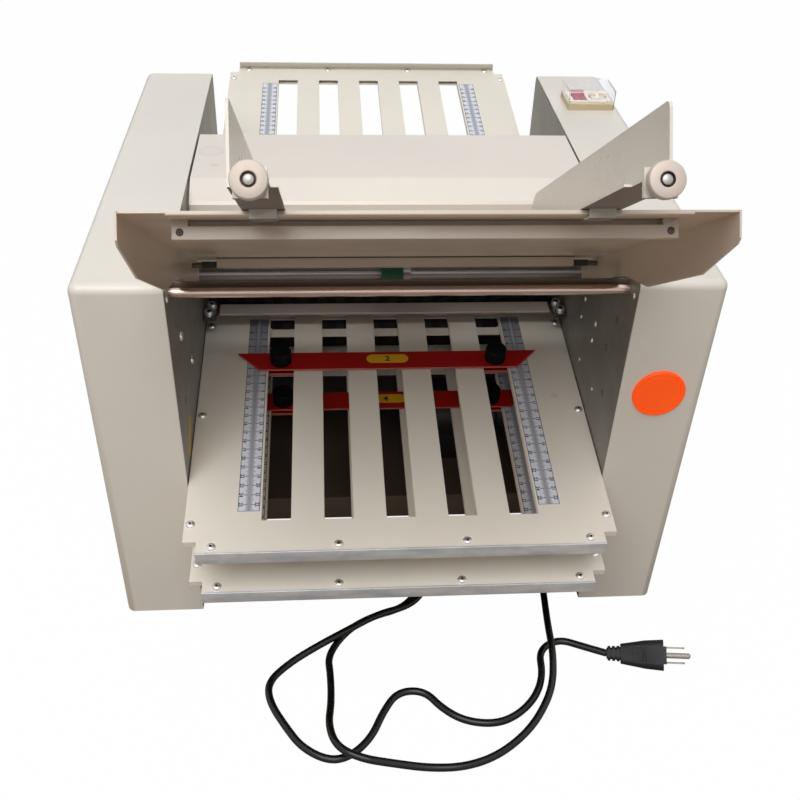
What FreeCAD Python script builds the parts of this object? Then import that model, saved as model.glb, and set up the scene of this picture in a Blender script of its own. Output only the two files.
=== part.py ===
import FreeCAD, Part
import math
import os
from FreeCAD import Placement, Rotation, Vector

os.makedirs("parts", exist_ok=True)

# Desk paper folding machine with four fold trays. Millimetres, X to the right, Y to the rear.
# The model is built with Y = 0 at the casing fronts and Z = 0 at the casing bottoms; save()
# then moves every piece so that the origin is the middle of the footprint, on the floor.

# ---- driving dimensions -------------------------------------------------------------------
half_width = 240.0          # outer walls of the two casings
half_gap = 172.4            # inner faces of the two side frames
casing_height = 338.0
casing_depth = 440.0
casing_sheet = 1.5
casing_bend = 7.0           # bend radius of the casing edges
frame_plate = 3.0
foot_height = 4.0
front_reach = 237.433       # guide knobs, in front of the casing fronts
rear_reach = 654.14         # end rail of tray 1, behind the casing fronts
floor_z = -foot_height

roller_radius = 14.85
roller_pitch = 30.0         # centre distance of two rollers that nip
journal_radius = 8.0
shaft_radius = 4.0
running_gap = 0.05
gear_module = 1.5
roller_teeth = 20
drive_teeth = 44

tray_slope = 7.3            # degrees, all four trays rise to the rear
tray_half_width = 171.6
tray_end_half_width = 161.0
tray_sheet = 1.2
paper_gap = 3.5
tray_ear = 11.0             # the end of a tray is narrower over this length
slot_pitch = 49.75
slot_width = 23.3
slot_start = 14.0
slot_end_margin = 31.0
short_tray = 298.0
long_tray = 395.0
tray_screw_x = 166.5
tray_screw_stations = (28.7, 149.1, 269.9)
row_screw_x = (-149.0, -50.5, 50.5, 149.0)
row_screw_margin = 5.5

table_slope = 33.7          # degrees, the feed table falls to the rear
table_near_y = -146.0
table_near_z = 469.0
table_length = 335.0
table_half_width = 165.0
table_sheet = 1.2

cord_radius = 3.15

tilt = math.radians(tray_slope)
along = Vector(0, math.cos(tilt), math.sin(tilt))       # along the trays, to the rear
across = Vector(0, -math.sin(tilt), math.cos(tilt))     # square to the trays, upwards

# ---- fold unit layout ---------------------------------------------------------------------
nip_two = Vector(0, 244.0, 188.0)                       # between rollers 2 and 3
stagger = roller_pitch / 4.0                            # half the distance of the two columns
step = roller_pitch * math.sqrt(3.0) / 2.0              # distance of two nips across the trays


def unit_point(rearward, upward):
    """Point of the fold unit, measured from nip two along and across the trays."""
    return nip_two + along * rearward + across * upward


roller_centres = [
    unit_point(-stagger, step / 2 + roller_pitch),
    unit_point(-stagger, step / 2),
    unit_point(stagger, -step / 2),
    unit_point(-stagger, -3 * step / 2),
    unit_point(stagger, -5 * step / 2),
    unit_point(-stagger, -7 * step / 2),
]
feed_centre = Vector(0, 139.0, 265.0)
delivery_centre = Vector(0, 336.0, 86.0)
drive_direction = Vector(0, -33.1, -34.8)
drive_direction.normalize()
gear_distance = gear_module * (roller_teeth + drive_teeth) / 2.0
motor_centre = roller_centres[5] + drive_direction * gear_distance

tray_mouth = 19.0           # distance of a tray's mouth from the nips
tray_drop = 8.0             # trays 2 to 4 lie this far below their nips
top_of_gap = paper_gap / 2.0 + tray_sheet
trays = {
    1: dict(side=1, length=long_tray, upward=step + 1.1),
    2: dict(side=-1, length=short_tray, upward=-tray_drop),
    3: dict(side=1, length=short_tray, upward=-step - tray_drop),
    4: dict(side=-1, length=short_tray, upward=-2 * step - tray_drop),
}


# ---- helpers ------------------------------------------------------------------------------
def box(x0, x1, y0, y1, z0, z1):
    return Part.makeBox(x1 - x0, y1 - y0, z1 - z0, Vector(x0, y0, z0))


def rod(centre, radius, x0, x1):
    """Round bar along X through the point centre."""
    return Part.makeCylinder(radius, x1 - x0, Vector(x0, centre.y, centre.z), Vector(1, 0, 0))


def sheet_profile(points, x0, x1):
    """Solid from a closed outline in the YZ plane, from x0 to x1."""
    corners = [Vector(x0, y, z) for y, z in points]
    wire = Part.makePolygon(corners + [corners[0]])
    return Part.Face(wire).extrude(Vector(x1 - x0, 0, 0))


def flat_profile(points, z0, z1):
    """Solid from a closed outline in the XY plane, from z0 to z1."""
    corners = [Vector(x, y, z0) for x, y in points]
    wire = Part.makePolygon(corners + [corners[0]])
    return Part.Face(wire).extrude(Vector(0, 0, z1 - z0))


def union(shapes):
    joined = shapes[0].fuse(shapes[1:]) if len(shapes) > 1 else shapes[0]
    return joined.removeSplitter()


def mirrored(shape):
    return shape.mirror(Vector(0, 0, 0), Vector(1, 0, 0))


def fillet_edges(solid, radius, wanted):
    """Round the straight edges whose middle point passes the test."""
    edges = [e for e in solid.Edges if wanted(e.valueAt((e.FirstParameter + e.LastParameter) / 2), e)]
    return solid.makeFillet(radius, edges)


def placed(shape, placement):
    moved = shape.copy()
    moved.Placement = placement.multiply(moved.Placement)
    return moved


def save(node, *shapes):
    """Write the solids of one piece, moved to the machine's own origin."""
    solids = []
    for shape in shapes:
        solids.extend(shape.Solids)
    piece = solids[0] if len(solids) == 1 else Part.makeCompound(solids)
    piece.translate(Vector(0, (front_reach - rear_reach) / 2.0, foot_height))
    piece.exportStep("parts/" + node + ".step")


table_frame = Placement(Vector(0, table_near_y, table_near_z), Rotation(Vector(1, 0, 0), -table_slope))


def tray_frame(number):
    """Tray coordinates: Y outwards from the mouth, Z up, Z = 0 on the upper plate's top."""
    tray = trays[number]
    mouth = unit_point(tray["side"] * tray_mouth, tray["upward"] + top_of_gap)
    turn = Rotation(Vector(1, 0, 0), tray_slope)
    if tray["side"] < 0:
        turn = turn.multiply(Rotation(Vector(0, 0, 1), 180))
    return Placement(mouth, turn)


# ---- casings and frames -------------------------------------------------------------------
def right_casing_shell():
    """Bent sheet cover, open at the bottom and towards the side frame."""
    outer = box(half_gap, half_width, 0, casing_depth, 0, casing_height)

    def outside(middle, edge):
        upright = abs(middle.x - half_width) < 0.1 and middle.y in (0.0, casing_depth)
        top = abs(middle.z - casing_height) < 0.1 and middle.x > half_gap + 1
        return upright or top

    outer = fillet_edges(outer, casing_bend, outside)
    inner = box(half_gap - 1, half_width - casing_sheet, casing_sheet, casing_depth - casing_sheet,
                -1, casing_height - casing_sheet)

    def inside(middle, edge):
        upright = abs(middle.x - half_width + casing_sheet) < 0.1 and 0 < middle.z < casing_height - 2
        upright = upright and (middle.y < 2 or middle.y > casing_depth - 2)
        top = middle.z > casing_height - 2 and middle.x > half_gap + 1
        return upright or top

    inner = fillet_edges(inner, casing_bend - casing_sheet, inside)
    return outer.cut(inner)


cap_centre = Vector(203.9, 0, 237.3)
cap_hole_radius = 19.0
post_places = ((60, 30), (380, 30), (60, 300), (380, 300))
post_radius = 5.0
bearing_radius = 11.0
small_bearing_radius = 8.0


def casings():
    right = right_casing_shell()
    hole = Part.makeCylinder(cap_hole_radius, 10, Vector(cap_centre.x, -5, cap_centre.z), Vector(0, 1, 0))
    save("right_casing", right.cut(hole))
    save("left_casing", mirrored(right_casing_shell()))


def casing_posts():
    """Hexagonal studs, welded to the right side frame, that carry the casing."""
    posts = []
    for y, z in post_places:
        corners = [(y + post_radius * math.cos(math.radians(60 * k)),
                    z + post_radius * math.sin(math.radians(60 * k))) for k in range(6)]
        posts.append(sheet_profile(corners, half_gap + frame_plate - 0.5, half_width - casing_sheet))
    return posts


def tray_supports():
    """Angles, welded to the right side frame, that carry the edges of the trays."""
    angles = []
    under = -2 * tray_sheet - paper_gap
    for number in trays:
        shelf = box(154, half_gap + 0.5, 22, 170, under - 1.5, under)
        wall = box(half_gap - 1.5, half_gap + 0.5, 22, 170, under - 12, under - 1)
        angle = union([shelf, wall])
        if trays[number]["side"] < 0:
            angle = mirrored(angle)
        angles.append(placed(angle, tray_frame(number)))
    return angles


def side_frames():
    """Zinc-plated steel plates with bearing seats and a foot flange bent outwards."""
    inner = half_gap
    outer = half_gap + frame_plate
    margin = 2.0
    top = casing_height - casing_sheet - 0.5
    rear = casing_depth - margin
    outline = [(margin, 0), (rear, 0), (rear, top - 5), (rear - 5, top), (margin + 5, top), (margin, top - 5)]
    plate = sheet_profile(outline, inner, outer)
    flange = box(outer, outer + 26, margin, casing_depth - margin, 0, frame_plate)
    plate = union([plate, flange])
    seats = [(c, bearing_radius) for c in roller_centres]
    seats += [(feed_centre, small_bearing_radius), (delivery_centre, small_bearing_radius)]
    seats += [(Vector(0, cover_pin_y, cover_pin_z), cover_pin_radius + running_gap)]
    cutters = [rod(c, r, inner - 1, outer + 1) for c, r in seats]
    for y, z in ((38, 282), (52, 246), (40, 208), (96, 300)):
        cutters.append(rod(Vector(0, y, z), 3.5, inner - 1, outer + 1))
    base = union([plate.cut(cutters)] + casing_posts() + tray_supports())
    motor_seat = rod(motor_centre, small_bearing_radius, inner - 1, outer + 1)
    save("right_side_frame", base.cut(motor_seat))
    save("left_side_frame", mirrored(base))


def feet():
    places = [(sx * 188.0, y) for sx in (-1, 1) for y in (34.0, 406.0)]
    pads = []
    for x, y in places:
        pad = Part.makeCone(12, 14, foot_height, Vector(x, y, floor_z), Vector(0, 0, 1))
        pads.append(pad)
    save("rubber_feet", *pads)


pan_front = 109.0
pan_floor = 6.0
pan_wall_height = 27.0
gland_x = 145.0
gland_z = 16.0
gland_hole_radius = 7.0


def base_pan():
    """Sheet tray across the machine with a front wall and two side walls."""
    half = half_gap - 0.1
    rear = casing_depth - 4.0
    top = pan_floor + pan_wall_height
    block = box(-half, half, pan_front, rear, pan_floor, top)
    space = box(-half + casing_sheet, half - casing_sheet, pan_front + casing_sheet, rear + 1,
                pan_floor + casing_sheet, top + 1)
    hole = Part.makeCylinder(gland_hole_radius, 10, Vector(gland_x, pan_front - 5, gland_z), Vector(0, 1, 0))
    save("base_pan", block.cut([space, hole]))


crossbar_front = 190.0
crossbar_rear = 206.5
crossbar_top = 195.5
pad_rise = 1.5               # the crossbar's end pads carry two bolts each
pad_bolts = ((166.5, 185.7), (164.5, 198.5))


def cross_members():
    tie_y, tie_z, tie_radius = 22.0, 319.6, 4.0
    save("front_tie_bar", rod(Vector(0, tie_y, tie_z), tie_radius, -half_gap, half_gap))
    strip = box(-half_gap, half_gap, tie_y + tie_radius + 0.6, tie_y + tie_radius + 2.1, 316, 325.7)
    save("front_cross_sheet", strip)
    flat = box(-half_gap, half_gap, crossbar_front, crossbar_rear, crossbar_top - 2, crossbar_top)
    stiffener = box(-154, 154, crossbar_rear - 2, crossbar_rear, crossbar_top - 9, crossbar_top - 1)
    pad = box(-half_gap, -160, crossbar_front - 9, crossbar_rear, crossbar_top - 2, crossbar_top + pad_rise)
    pad = fillet_edges(pad, 3.0, lambda m, e: abs(m.x + 160) < 0.01 and abs(m.z - crossbar_top) < 1)
    save("tray_crossbar", union([flat, stiffener, pad, mirrored(pad)]))


# ---- top cover ----------------------------------------------------------------------------
cover_half_width = 170.4
cover_pin_y = 264.0
cover_pin_z = 328.0
cover_pin_radius = 3.0


def top_cover():
    """Folded sheet lid that hinges at its rear edge for clearing a jam."""
    skin = [(273.7, 319.0), (273.7, 337.0), (272.7, 338.0), (179.2, 338.0), (158.2, 326.5), (156.4, 324.0),
            (156.4, 312.0), (157.9, 312.0), (157.9, 323.4), (159.2, 325.2), (179.6, 336.5), (272.2, 336.5),
            (272.2, 319.0)]
    shell = sheet_profile(skin, -cover_half_width, cover_half_width)
    cheek_outline = [(182.0, 336.6), (272.3, 336.6), (272.3, 321.0), (258.0, 321.0), (182.0, 330.0)]
    cheek = sheet_profile(cheek_outline, cover_half_width - casing_sheet, cover_half_width)
    pin = rod(Vector(0, cover_pin_y, cover_pin_z), cover_pin_radius, cover_half_width - casing_sheet,
              half_gap + frame_plate)
    save("top_cover", union([shell, cheek, mirrored(cheek), pin, mirrored(pin)]))


# ---- feed table and side guides -----------------------------------------------------------
rail_half_length = 140.5
hem_half_width = 139.3
hem_depth = 9.0
stiffener_half_width = 143.0
stiffener_place = 278.0


def feed_table():
    """Sloping sheet table with side flanges, a flat hem in front and a stiffening flange below."""
    half = table_half_width
    plate = box(-half, half, 0, table_length, -table_sheet, 0)
    plate = fillet_edges(plate, 3.0, lambda m, e: abs(abs(m.x) - half) < 0.01 and m.y < 0.01)
    outline = [(0, 0), (0, -15), (4, -18), (54.6, -31), (155, -33), (212, -21), (table_length, -21),
               (table_length, 0)]
    flange = sheet_profile(outline, half - table_sheet, half)
    hem = box(-hem_half_width, hem_half_width, 0, hem_depth, -2 * table_sheet, -table_sheet / 2)
    hem = fillet_edges(hem, 0.8, lambda m, e: m.y < 0.01 and m.z < -2 * table_sheet + 0.01)
    stiffener = box(-stiffener_half_width, stiffener_half_width, stiffener_place, stiffener_place + table_sheet,
                    -9, -table_sheet / 2)
    foot = box(-stiffener_half_width, stiffener_half_width, stiffener_place, stiffener_place + 12, -9,
               -9 + table_sheet)
    pieces = [plate, flange, mirrored(flange), hem, stiffener, foot]
    for station in (240.0, 318.0):
        lug = box(half - 1, half_gap, station, station + 14, -20, -2)
        pieces.extend([lug, mirrored(lug)])
    save("feed_table", placed(union(pieces), table_frame))


def guide_rail():
    """Strip below the table's near edge, held by a screw at each end."""
    rail = box(-rail_half_length, rail_half_length, 28, 36, -12, -table_sheet)
    relief = box(-rail_half_length + 9, rail_half_length - 9, 27, 34.5, -4.5, -1)
    save("guide_rail_strip", placed(rail.cut(relief), table_frame))


guide_start = -77.0          # near and far ends of the side guides, along the table
guide_end = 231.0
guide_gap = 0.4
guide_plate = 1.5
guide_height = 39.6
foot_width = 22.5
screw_offset = 11.5         # clamp screw beside the guide plate
screw_level = -0.4
screw_radius = 2.5
knob_front = -104.5
knob_radius = 8.3
lug_front = -95.2
left_guide_x = -100.4
right_guide_x = 100.0
stem_end = -74.0             # rounded tip of the clamp screw


def left_guide_solid():
    """Bent sheet guide: upright plate, foot flange, hook below the table's hem and a screw lug."""
    low = guide_gap
    foot_top = low + 1.2
    outline = [(guide_start, low), (guide_start, guide_height), (guide_end, guide_height), (guide_end, low)]
    plate = sheet_profile(outline, 0, guide_plate)
    plate = fillet_edges(plate, 4.0, lambda m, e: m.z > guide_height - 0.1 and m.y < guide_start + 0.1)
    plate = fillet_edges(plate, 22.0, lambda m, e: m.z > guide_height - 0.1 and m.y > guide_end - 0.1)
    foot = flat_profile([(0, guide_start), (foot_width, guide_start), (foot_width, 206), (8, guide_end),
                         (0, guide_end)], low, foot_top)
    arm = box(4, 19, lug_front, guide_start + 1, low, foot_top)
    lug = box(4, 19, lug_front, lug_front + 3, screw_level - 6.6, screw_level + 6.6)
    hook_outline = [(-2.4, foot_top), (-2.4, -4.4), (10, -4.4), (10, -3.2), (-1.2, -3.2), (-1.2, foot_top)]
    hook = sheet_profile(hook_outline, 4, 18.4)
    body = union([plate, foot, arm, lug, hook])
    bore = Part.makeCylinder(screw_radius + running_gap, stem_end + 106, Vector(screw_offset, -105, screw_level),
                             Vector(0, 1, 0))
    return body.cut(bore)


def left_knob_solid():
    """Turned clamp knob with its screw, whose rounded tip ends behind the lug."""
    forward = Vector(0, 1, 0)
    front = Vector(screw_offset, knob_front, screw_level)
    disc = Part.makeCylinder(knob_radius, 5.6, front, forward)
    disc = disc.makeChamfer(0.6, [e for e in disc.Edges if e.Closed])
    recess = Part.makeCylinder(3.3, 1.6, front - forward * 0.1, forward)
    hub = Part.makeCylinder(5.2, lug_front - 0.3 - knob_front - 5, front + forward * 5, forward)
    stem = Part.makeCylinder(screw_radius, stem_end - knob_front - 0.4, front + forward * 0.4, forward)
    stem = stem.makeFillet(1.8, [e for e in stem.Edges if e.Closed and e.CenterOfMass.y > stem_end - 1])
    return union([disc.cut(recess), hub, stem])


def side_guides():
    left = table_frame.multiply(Placement(Vector(left_guide_x, 0, 0), Rotation()))
    right = table_frame.multiply(Placement(Vector(right_guide_x, 0, 0), Rotation()))
    save("left_side_guide", placed(left_guide_solid(), left))
    save("right_side_guide", placed(mirrored(left_guide_solid()), right))
    save("left_guide_knob", placed(left_knob_solid(), left))
    save("right_guide_knob", placed(mirrored(left_knob_solid()), right))


# ---- feeding ------------------------------------------------------------------------------
feed_wheel_radius = 14.0
pulley_x = (-192.0, -182.0)
pulley_radius = 11.0
separator_rod_centre = Vector(0, 160.2, 293.6)
separator_rod_radius = 5.0


def pulley(centre, x0, x1):
    """Flanged belt pulley."""
    core = rod(centre, pulley_radius, x0, x1)
    flanges = [rod(centre, pulley_radius + 2.5, x0, x0 + 1), rod(centre, pulley_radius + 2.5, x1 - 1, x1)]
    return union([core] + flanges)


def feeding():
    shaft = rod(feed_centre, shaft_radius, pulley_x[0], half_gap + frame_plate + 1)
    collar = rod(feed_centre, 7.0, 9.6, 16.4)
    save("feed_shaft", union([shaft, pulley(feed_centre, *pulley_x), collar]))
    tyre = rod(feed_centre, feed_wheel_radius, -9.2, 9.2).cut(rod(feed_centre, shaft_radius, -10, 10))
    save("feed_wheel", tyre)
    save("separator_rod", rod(separator_rod_centre, separator_rod_radius, -half_gap, half_gap))
    block = box(-12, 12, 340, 362, 5.5, 32)
    taper = sheet_profile([(336, 0), (346, 0), (336, 24)], -13, 13)
    pad = box(-8, 8, 344, 357, 3.1, 5.6)
    holder = placed(union([block.cut(taper), pad]), table_frame)
    save("separator_block", holder.cut(rod(separator_rod_centre, separator_rod_radius, -20, 20)))
    start = Vector(0, 156.0, 270.5)
    end = Vector(0, 212.0, 229.0)
    points = [(start.y, start.z), (end.y, end.z), (end.y - 1.5, end.z - 1.5), (start.y - 1.0, start.z - 1.5)]
    save("feed_guide_plate", sheet_profile(points, -half_gap, half_gap))


# ---- fold rollers and drive ---------------------------------------------------------------
gear_x = (180.0, 188.0)


def gear(centre, teeth, phase):
    """Spur gear along X with straight-flanked teeth; phase turns the first tooth from +Y."""
    pitch = gear_module * teeth / 2.0
    tip = pitch + gear_module * 0.9
    root = pitch - gear_module * 1.2
    tooth = 2 * math.pi / teeth
    outline = []
    for k in range(teeth):
        middle = phase + k * tooth
        for radius, share in ((root, -0.36), (pitch, -0.225), (tip, -0.12), (tip, 0.12), (pitch, 0.225),
                              (root, 0.36)):
            angle = middle + share * tooth
            outline.append((centre.y + radius * math.cos(angle), centre.z + radius * math.sin(angle)))
    return sheet_profile(outline, *gear_x)


def direction_angle(start, end):
    return math.atan2(end.z - start.z, end.y - start.y)


def next_phase(start, start_teeth, start_phase, end, end_teeth):
    """Phase of the next gear, so that its gap meets the tooth of the gear before it."""
    line = direction_angle(start, end)
    start_step = 2 * math.pi / start_teeth
    end_step = 2 * math.pi / end_teeth
    tooth_offset = ((line - start_phase) / start_step) % 1.0
    return line + math.pi + (tooth_offset + 0.5) * end_step


def gear_phases():
    phases = [0.0]
    for k in range(1, 6):
        phases.append(next_phase(roller_centres[k - 1], roller_teeth, phases[k - 1], roller_centres[k],
                                 roller_teeth))
    drive = next_phase(roller_centres[5], roller_teeth, phases[5], motor_centre, drive_teeth)
    return phases, drive


def fold_rollers():
    """Steel rollers; each journal carries a gear on the right, two also a pulley on the left."""
    phases, drive_phase = gear_phases()
    for k, centre in enumerate(roller_centres):
        body = rod(centre, roller_radius, -168, 168)
        edges = [e for e in body.Edges if e.Closed]
        body = body.makeChamfer(1.0, edges)
        pieces = [body, gear(centre, roller_teeth, phases[k])]
        if k in (1, 4):
            pieces.append(rod(centre, journal_radius, pulley_x[0], gear_x[1] + 2))
            pieces.append(pulley(centre, *pulley_x))
        else:
            pieces.append(rod(centre, journal_radius, -half_gap - frame_plate - 2, gear_x[1] + 2))
        save("fold_roller_%d" % (k + 1), union(pieces))
    wheel = gear(motor_centre, drive_teeth, drive_phase)
    shaft = rod(motor_centre, shaft_radius, 151, gear_x[1] + 4)
    windows = [rod(motor_centre + Vector(0, 19 * math.cos(a), 19 * math.sin(a)), 6.5, 170, 195)
               for a in [math.radians(60 * n) for n in range(6)]]
    save("drive_gear", union([wheel.cut(windows), shaft, rod(motor_centre, 11, gear_x[0] - 3, gear_x[0])]))


def bearings():
    """Flanged bushes pressed into the side frames."""
    bushes = []
    seats = [(c, bearing_radius, journal_radius) for c in roller_centres]
    seats += [(c, small_bearing_radius, shaft_radius) for c in (feed_centre, delivery_centre)]
    for centre, outer, inner in seats:
        for x0 in (-half_gap - frame_plate, half_gap):
            bush = rod(centre, outer, x0, x0 + frame_plate)
            bushes.append(bush.cut(rod(centre, inner + running_gap, x0 - 1, x0 + frame_plate + 1)))
    bush = rod(motor_centre, small_bearing_radius, half_gap, half_gap + frame_plate)
    bushes.append(bush.cut(rod(motor_centre, shaft_radius + running_gap, half_gap - 1, half_gap + 5)))
    save("roller_bearings", *bushes)


motor_radius = 30.0


def motor():
    """Geared mains motor, flanged to the right side frame."""
    can = rod(motor_centre, motor_radius, 20, 118)
    can = can.makeFillet(4.0, [e for e in can.Edges if e.Closed])
    gearbox = rod(motor_centre, motor_radius - 3, 118, half_gap)
    foot = box(30, 100, motor_centre.y - 20, motor_centre.y + 20, pan_floor + casing_sheet, motor_centre.z)
    body = union([can, gearbox, foot])
    save("drive_motor", body.cut(rod(motor_centre, shaft_radius + 0.3, 150, half_gap + 1)))


def belt(start, end):
    """Toothed belt as a closed loop, clear of the two pulleys."""
    inner = pulley_radius + 0.3
    outer = inner + 2.0
    x0 = pulley_x[0] + 1.3
    x1 = pulley_x[1] - 1.3
    line = end - start
    normal = Vector(0, -line.z, line.y)
    normal.normalize()

    def loop(radius, low, high):
        corners = [start + normal * radius, end + normal * radius, end - normal * radius,
                   start - normal * radius]
        strip = sheet_profile([(c.y, c.z) for c in corners], low, high)
        return union([strip, rod(start, radius, low, high), rod(end, radius, low, high)])

    return loop(outer, x0, x1).cut(loop(inner, x0 - 1, x1 + 1))


def delivery():
    shaft = rod(delivery_centre, shaft_radius, pulley_x[0], half_gap + frame_plate + 1)
    wheels = [rod(delivery_centre, 14.0, x - 8, x + 8) for x in (-90, 0, 90)]
    save("delivery_shaft", union([shaft, pulley(delivery_centre, *pulley_x)] + wheels))
    save("drive_belts", belt(roller_centres[1], feed_centre), belt(roller_centres[4], delivery_centre))
    top = Vector(0, 268.5, 96.0)
    foot = Vector(0, 436.0, 24.0)
    slope = (foot.z - top.z) / (foot.y - top.y)
    skin = [(top.y, top.z), (foot.y, foot.z), (foot.y, foot.z - 1.6), (top.y, top.z - 1.6)]
    half = half_gap - 1.9
    sheet = sheet_profile(skin, -half, half)
    wall_outline = [(top.y + 12, top.z + 12 * slope - 1), (foot.y - 12, foot.z - 12 * slope - 1),
                    (foot.y - 12, foot.z - 12 * slope - 3), (top.y + 90, top.z + 90 * slope - 14),
                    (top.y + 12, top.z + 12 * slope - 14)]
    wall = sheet_profile(wall_outline, half - 1.5, half)
    lug = box(half - 0.5, half_gap, top.y + 20, top.y + 60, 68, 76)
    lug = lug.common(sheet_profile(wall_outline, half - 1.5, half_gap))
    save("delivery_chute", union([sheet, wall, mirrored(wall), lug, mirrored(lug)]))


# ---- fold trays ---------------------------------------------------------------------------
def slotted_plate(length, z0, z1):
    half = tray_half_width
    end = tray_end_half_width
    ear = length - tray_ear
    outline = [(-half, 0), (half, 0), (half, ear), (end, ear), (end, length), (-end, length), (-end, ear),
               (-half, ear)]
    plate = flat_profile(outline, z0, z1)
    slots = [box(k * slot_pitch - slot_width / 2, k * slot_pitch + slot_width / 2, slot_start,
                 length - slot_end_margin, z0 - 1, z1 + 1) for k in range(-2, 3)]
    return plate.cut(slots)


def tray_plates(number):
    """Upper and lower slotted plates, held apart by a strip along each side."""
    length = trays[number]["length"]
    frame = tray_frame(number)
    gap_top = -tray_sheet
    gap_low = gap_top - paper_gap
    upper = slotted_plate(length, gap_top, 0)
    lower = slotted_plate(length, gap_low - tray_sheet, gap_low)
    strip = box(tray_end_half_width + 0.6, tray_half_width, 4, length - tray_ear, gap_low - 0.1, gap_top)
    lower = union([lower, strip, mirrored(strip)])
    save("tray_%d_plates" % number, placed(upper, frame), placed(lower, frame))


def tray_end_rails():
    """Aluminium angle along the outer end of each tray."""
    rails = []
    stack = 2 * tray_sheet + paper_gap
    half = tray_end_half_width
    for number, tray in trays.items():
        length = tray["length"]
        upright = box(-half, half, length, length + 1.8, -12, 1.0)
        shelf = box(-half, half, length - 13, length, -stack - 1.8, -stack)
        rails.append(placed(union([upright, shelf]), tray_frame(number)))
    save("tray_end_rails", *rails)


def tray_rulers():
    """Thin scale strips beside the outer slots."""
    strips = []
    for number, tray in trays.items():
        strip = box(112.8, 130.4, slot_start + 6, tray["length"] - 40, 0, 0.3)
        strips.extend([placed(strip, tray_frame(number)), placed(mirrored(strip), tray_frame(number))])
    save("tray_rulers", *strips)


stop_station = 82.6
stop_depth = 22.7
stop_rise = 0.7
stop_sheet = 2.0
stop_knob_x = 2 * slot_pitch
clamp_stud_radius = 3.0


def stop_bar():
    """Paper stop: pointed bar over the tray, three tongues through the slots and two clamp nuts."""
    near = stop_station - stop_depth / 2
    far = stop_station + stop_depth / 2
    bar = flat_profile([(-139.5, near), (139.5, near), (119, far), (-119, far)], stop_rise,
                       stop_rise + stop_sheet)
    skirt = box(-119, 119, far - 1.2, far, stop_rise, stop_rise + 2.0)
    pieces = [bar, skirt]
    for k in (-1, 0, 1):
        x = k * slot_pitch
        pieces.append(box(x - 8, x + 8, near + 1.2, near + 2.4, -2 * tray_sheet - paper_gap - 1, stop_rise + 0.1))
    bar = union(pieces)
    holes = [Part.makeCylinder(clamp_stud_radius + running_gap, 30, Vector(s * stop_knob_x, stop_station, -15))
             for s in (-1, 1)]
    nuts = []
    for s in (-1, 1):
        x = s * stop_knob_x
        nut = box(x - 15, x + 15, stop_station - 7, stop_station + 7, -9.4, -6.4)
        nuts.append(nut.cut(holes))
    return [bar.cut(holes)] + nuts


def stop_knob(side):
    """Round black knob with its clamping stud."""
    base = Vector(side * stop_knob_x, stop_station, stop_rise + stop_sheet + 0.3)
    head = Part.makeCylinder(9.6, 13, base)
    grips = [Part.makeCylinder(1.6, 10, base + Vector(10.6 * math.cos(a), 10.6 * math.sin(a), 2))
             for a in [math.radians(30 * n) for n in range(12)]]
    head = head.makeFillet(1.5, [e for e in head.Edges if e.Closed and e.CenterOfMass.z > base.z + 5])
    stud_bottom = -9.4
    stud = Part.makeCylinder(clamp_stud_radius, base.z + 5 - stud_bottom,
                             Vector(base.x, base.y, stud_bottom))
    return union([head.cut(grips), stud])


def paper_stops():
    for number in trays:
        frame = tray_frame(number)
        save("tray_%d_stop_bar" % number, *[placed(piece, frame) for piece in stop_bar()])
        save("tray_%d_left_knob" % number, placed(stop_knob(trays[number]["side"] * -1), frame))
        save("tray_%d_right_knob" % number, placed(stop_knob(trays[number]["side"]), frame))


# ---- fasteners ----------------------------------------------------------------------------
def button_head(centre, axis, radius=3.8, height=2.2):
    lower = Part.makeCylinder(radius, height * 0.45, centre, axis)
    upper = Part.makeCone(radius, radius * 0.55, height * 0.55, centre + axis * (height * 0.45), axis)
    return union([lower, upper])


def cap_screws():
    """Heads of the socket screws of the trays, the guide rail, the crossbar and the casings."""
    heads = []
    up = Vector(0, 0, 1)
    for number, tray in trays.items():
        frame = tray_frame(number)
        length = tray["length"]
        stations = [s + (length - short_tray) * (s > 200) for s in tray_screw_stations]
        for station in stations:
            for s in (-1, 1):
                heads.append(placed(button_head(Vector(s * tray_screw_x, station, 0), up), frame))
        for x in row_screw_x:
            heads.append(placed(button_head(Vector(x, length - row_screw_margin, 0), up), frame))
    for s in (-1, 1):
        heads.append(placed(button_head(Vector(s * 136.0, 28, -8), Vector(0, -1, 0), 2.6, 1.6), table_frame))
        for x, y in pad_bolts:
            heads.append(Part.makeCylinder(4.4, 5.0, Vector(s * x, y, crossbar_top + pad_rise)))
        for y, z in post_places:
            heads.append(button_head(Vector(s * half_width, y, z), Vector(s, 0, 0)))
    save("cap_screws", *heads)


# ---- switch box and front cap -------------------------------------------------------------
switch_x = (186.0, 233.0)
switch_y = (337.0, 377.0)
switch_base_height = 6.0
switch_lid_height = 18.5
lid_wall = 1.2


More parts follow.
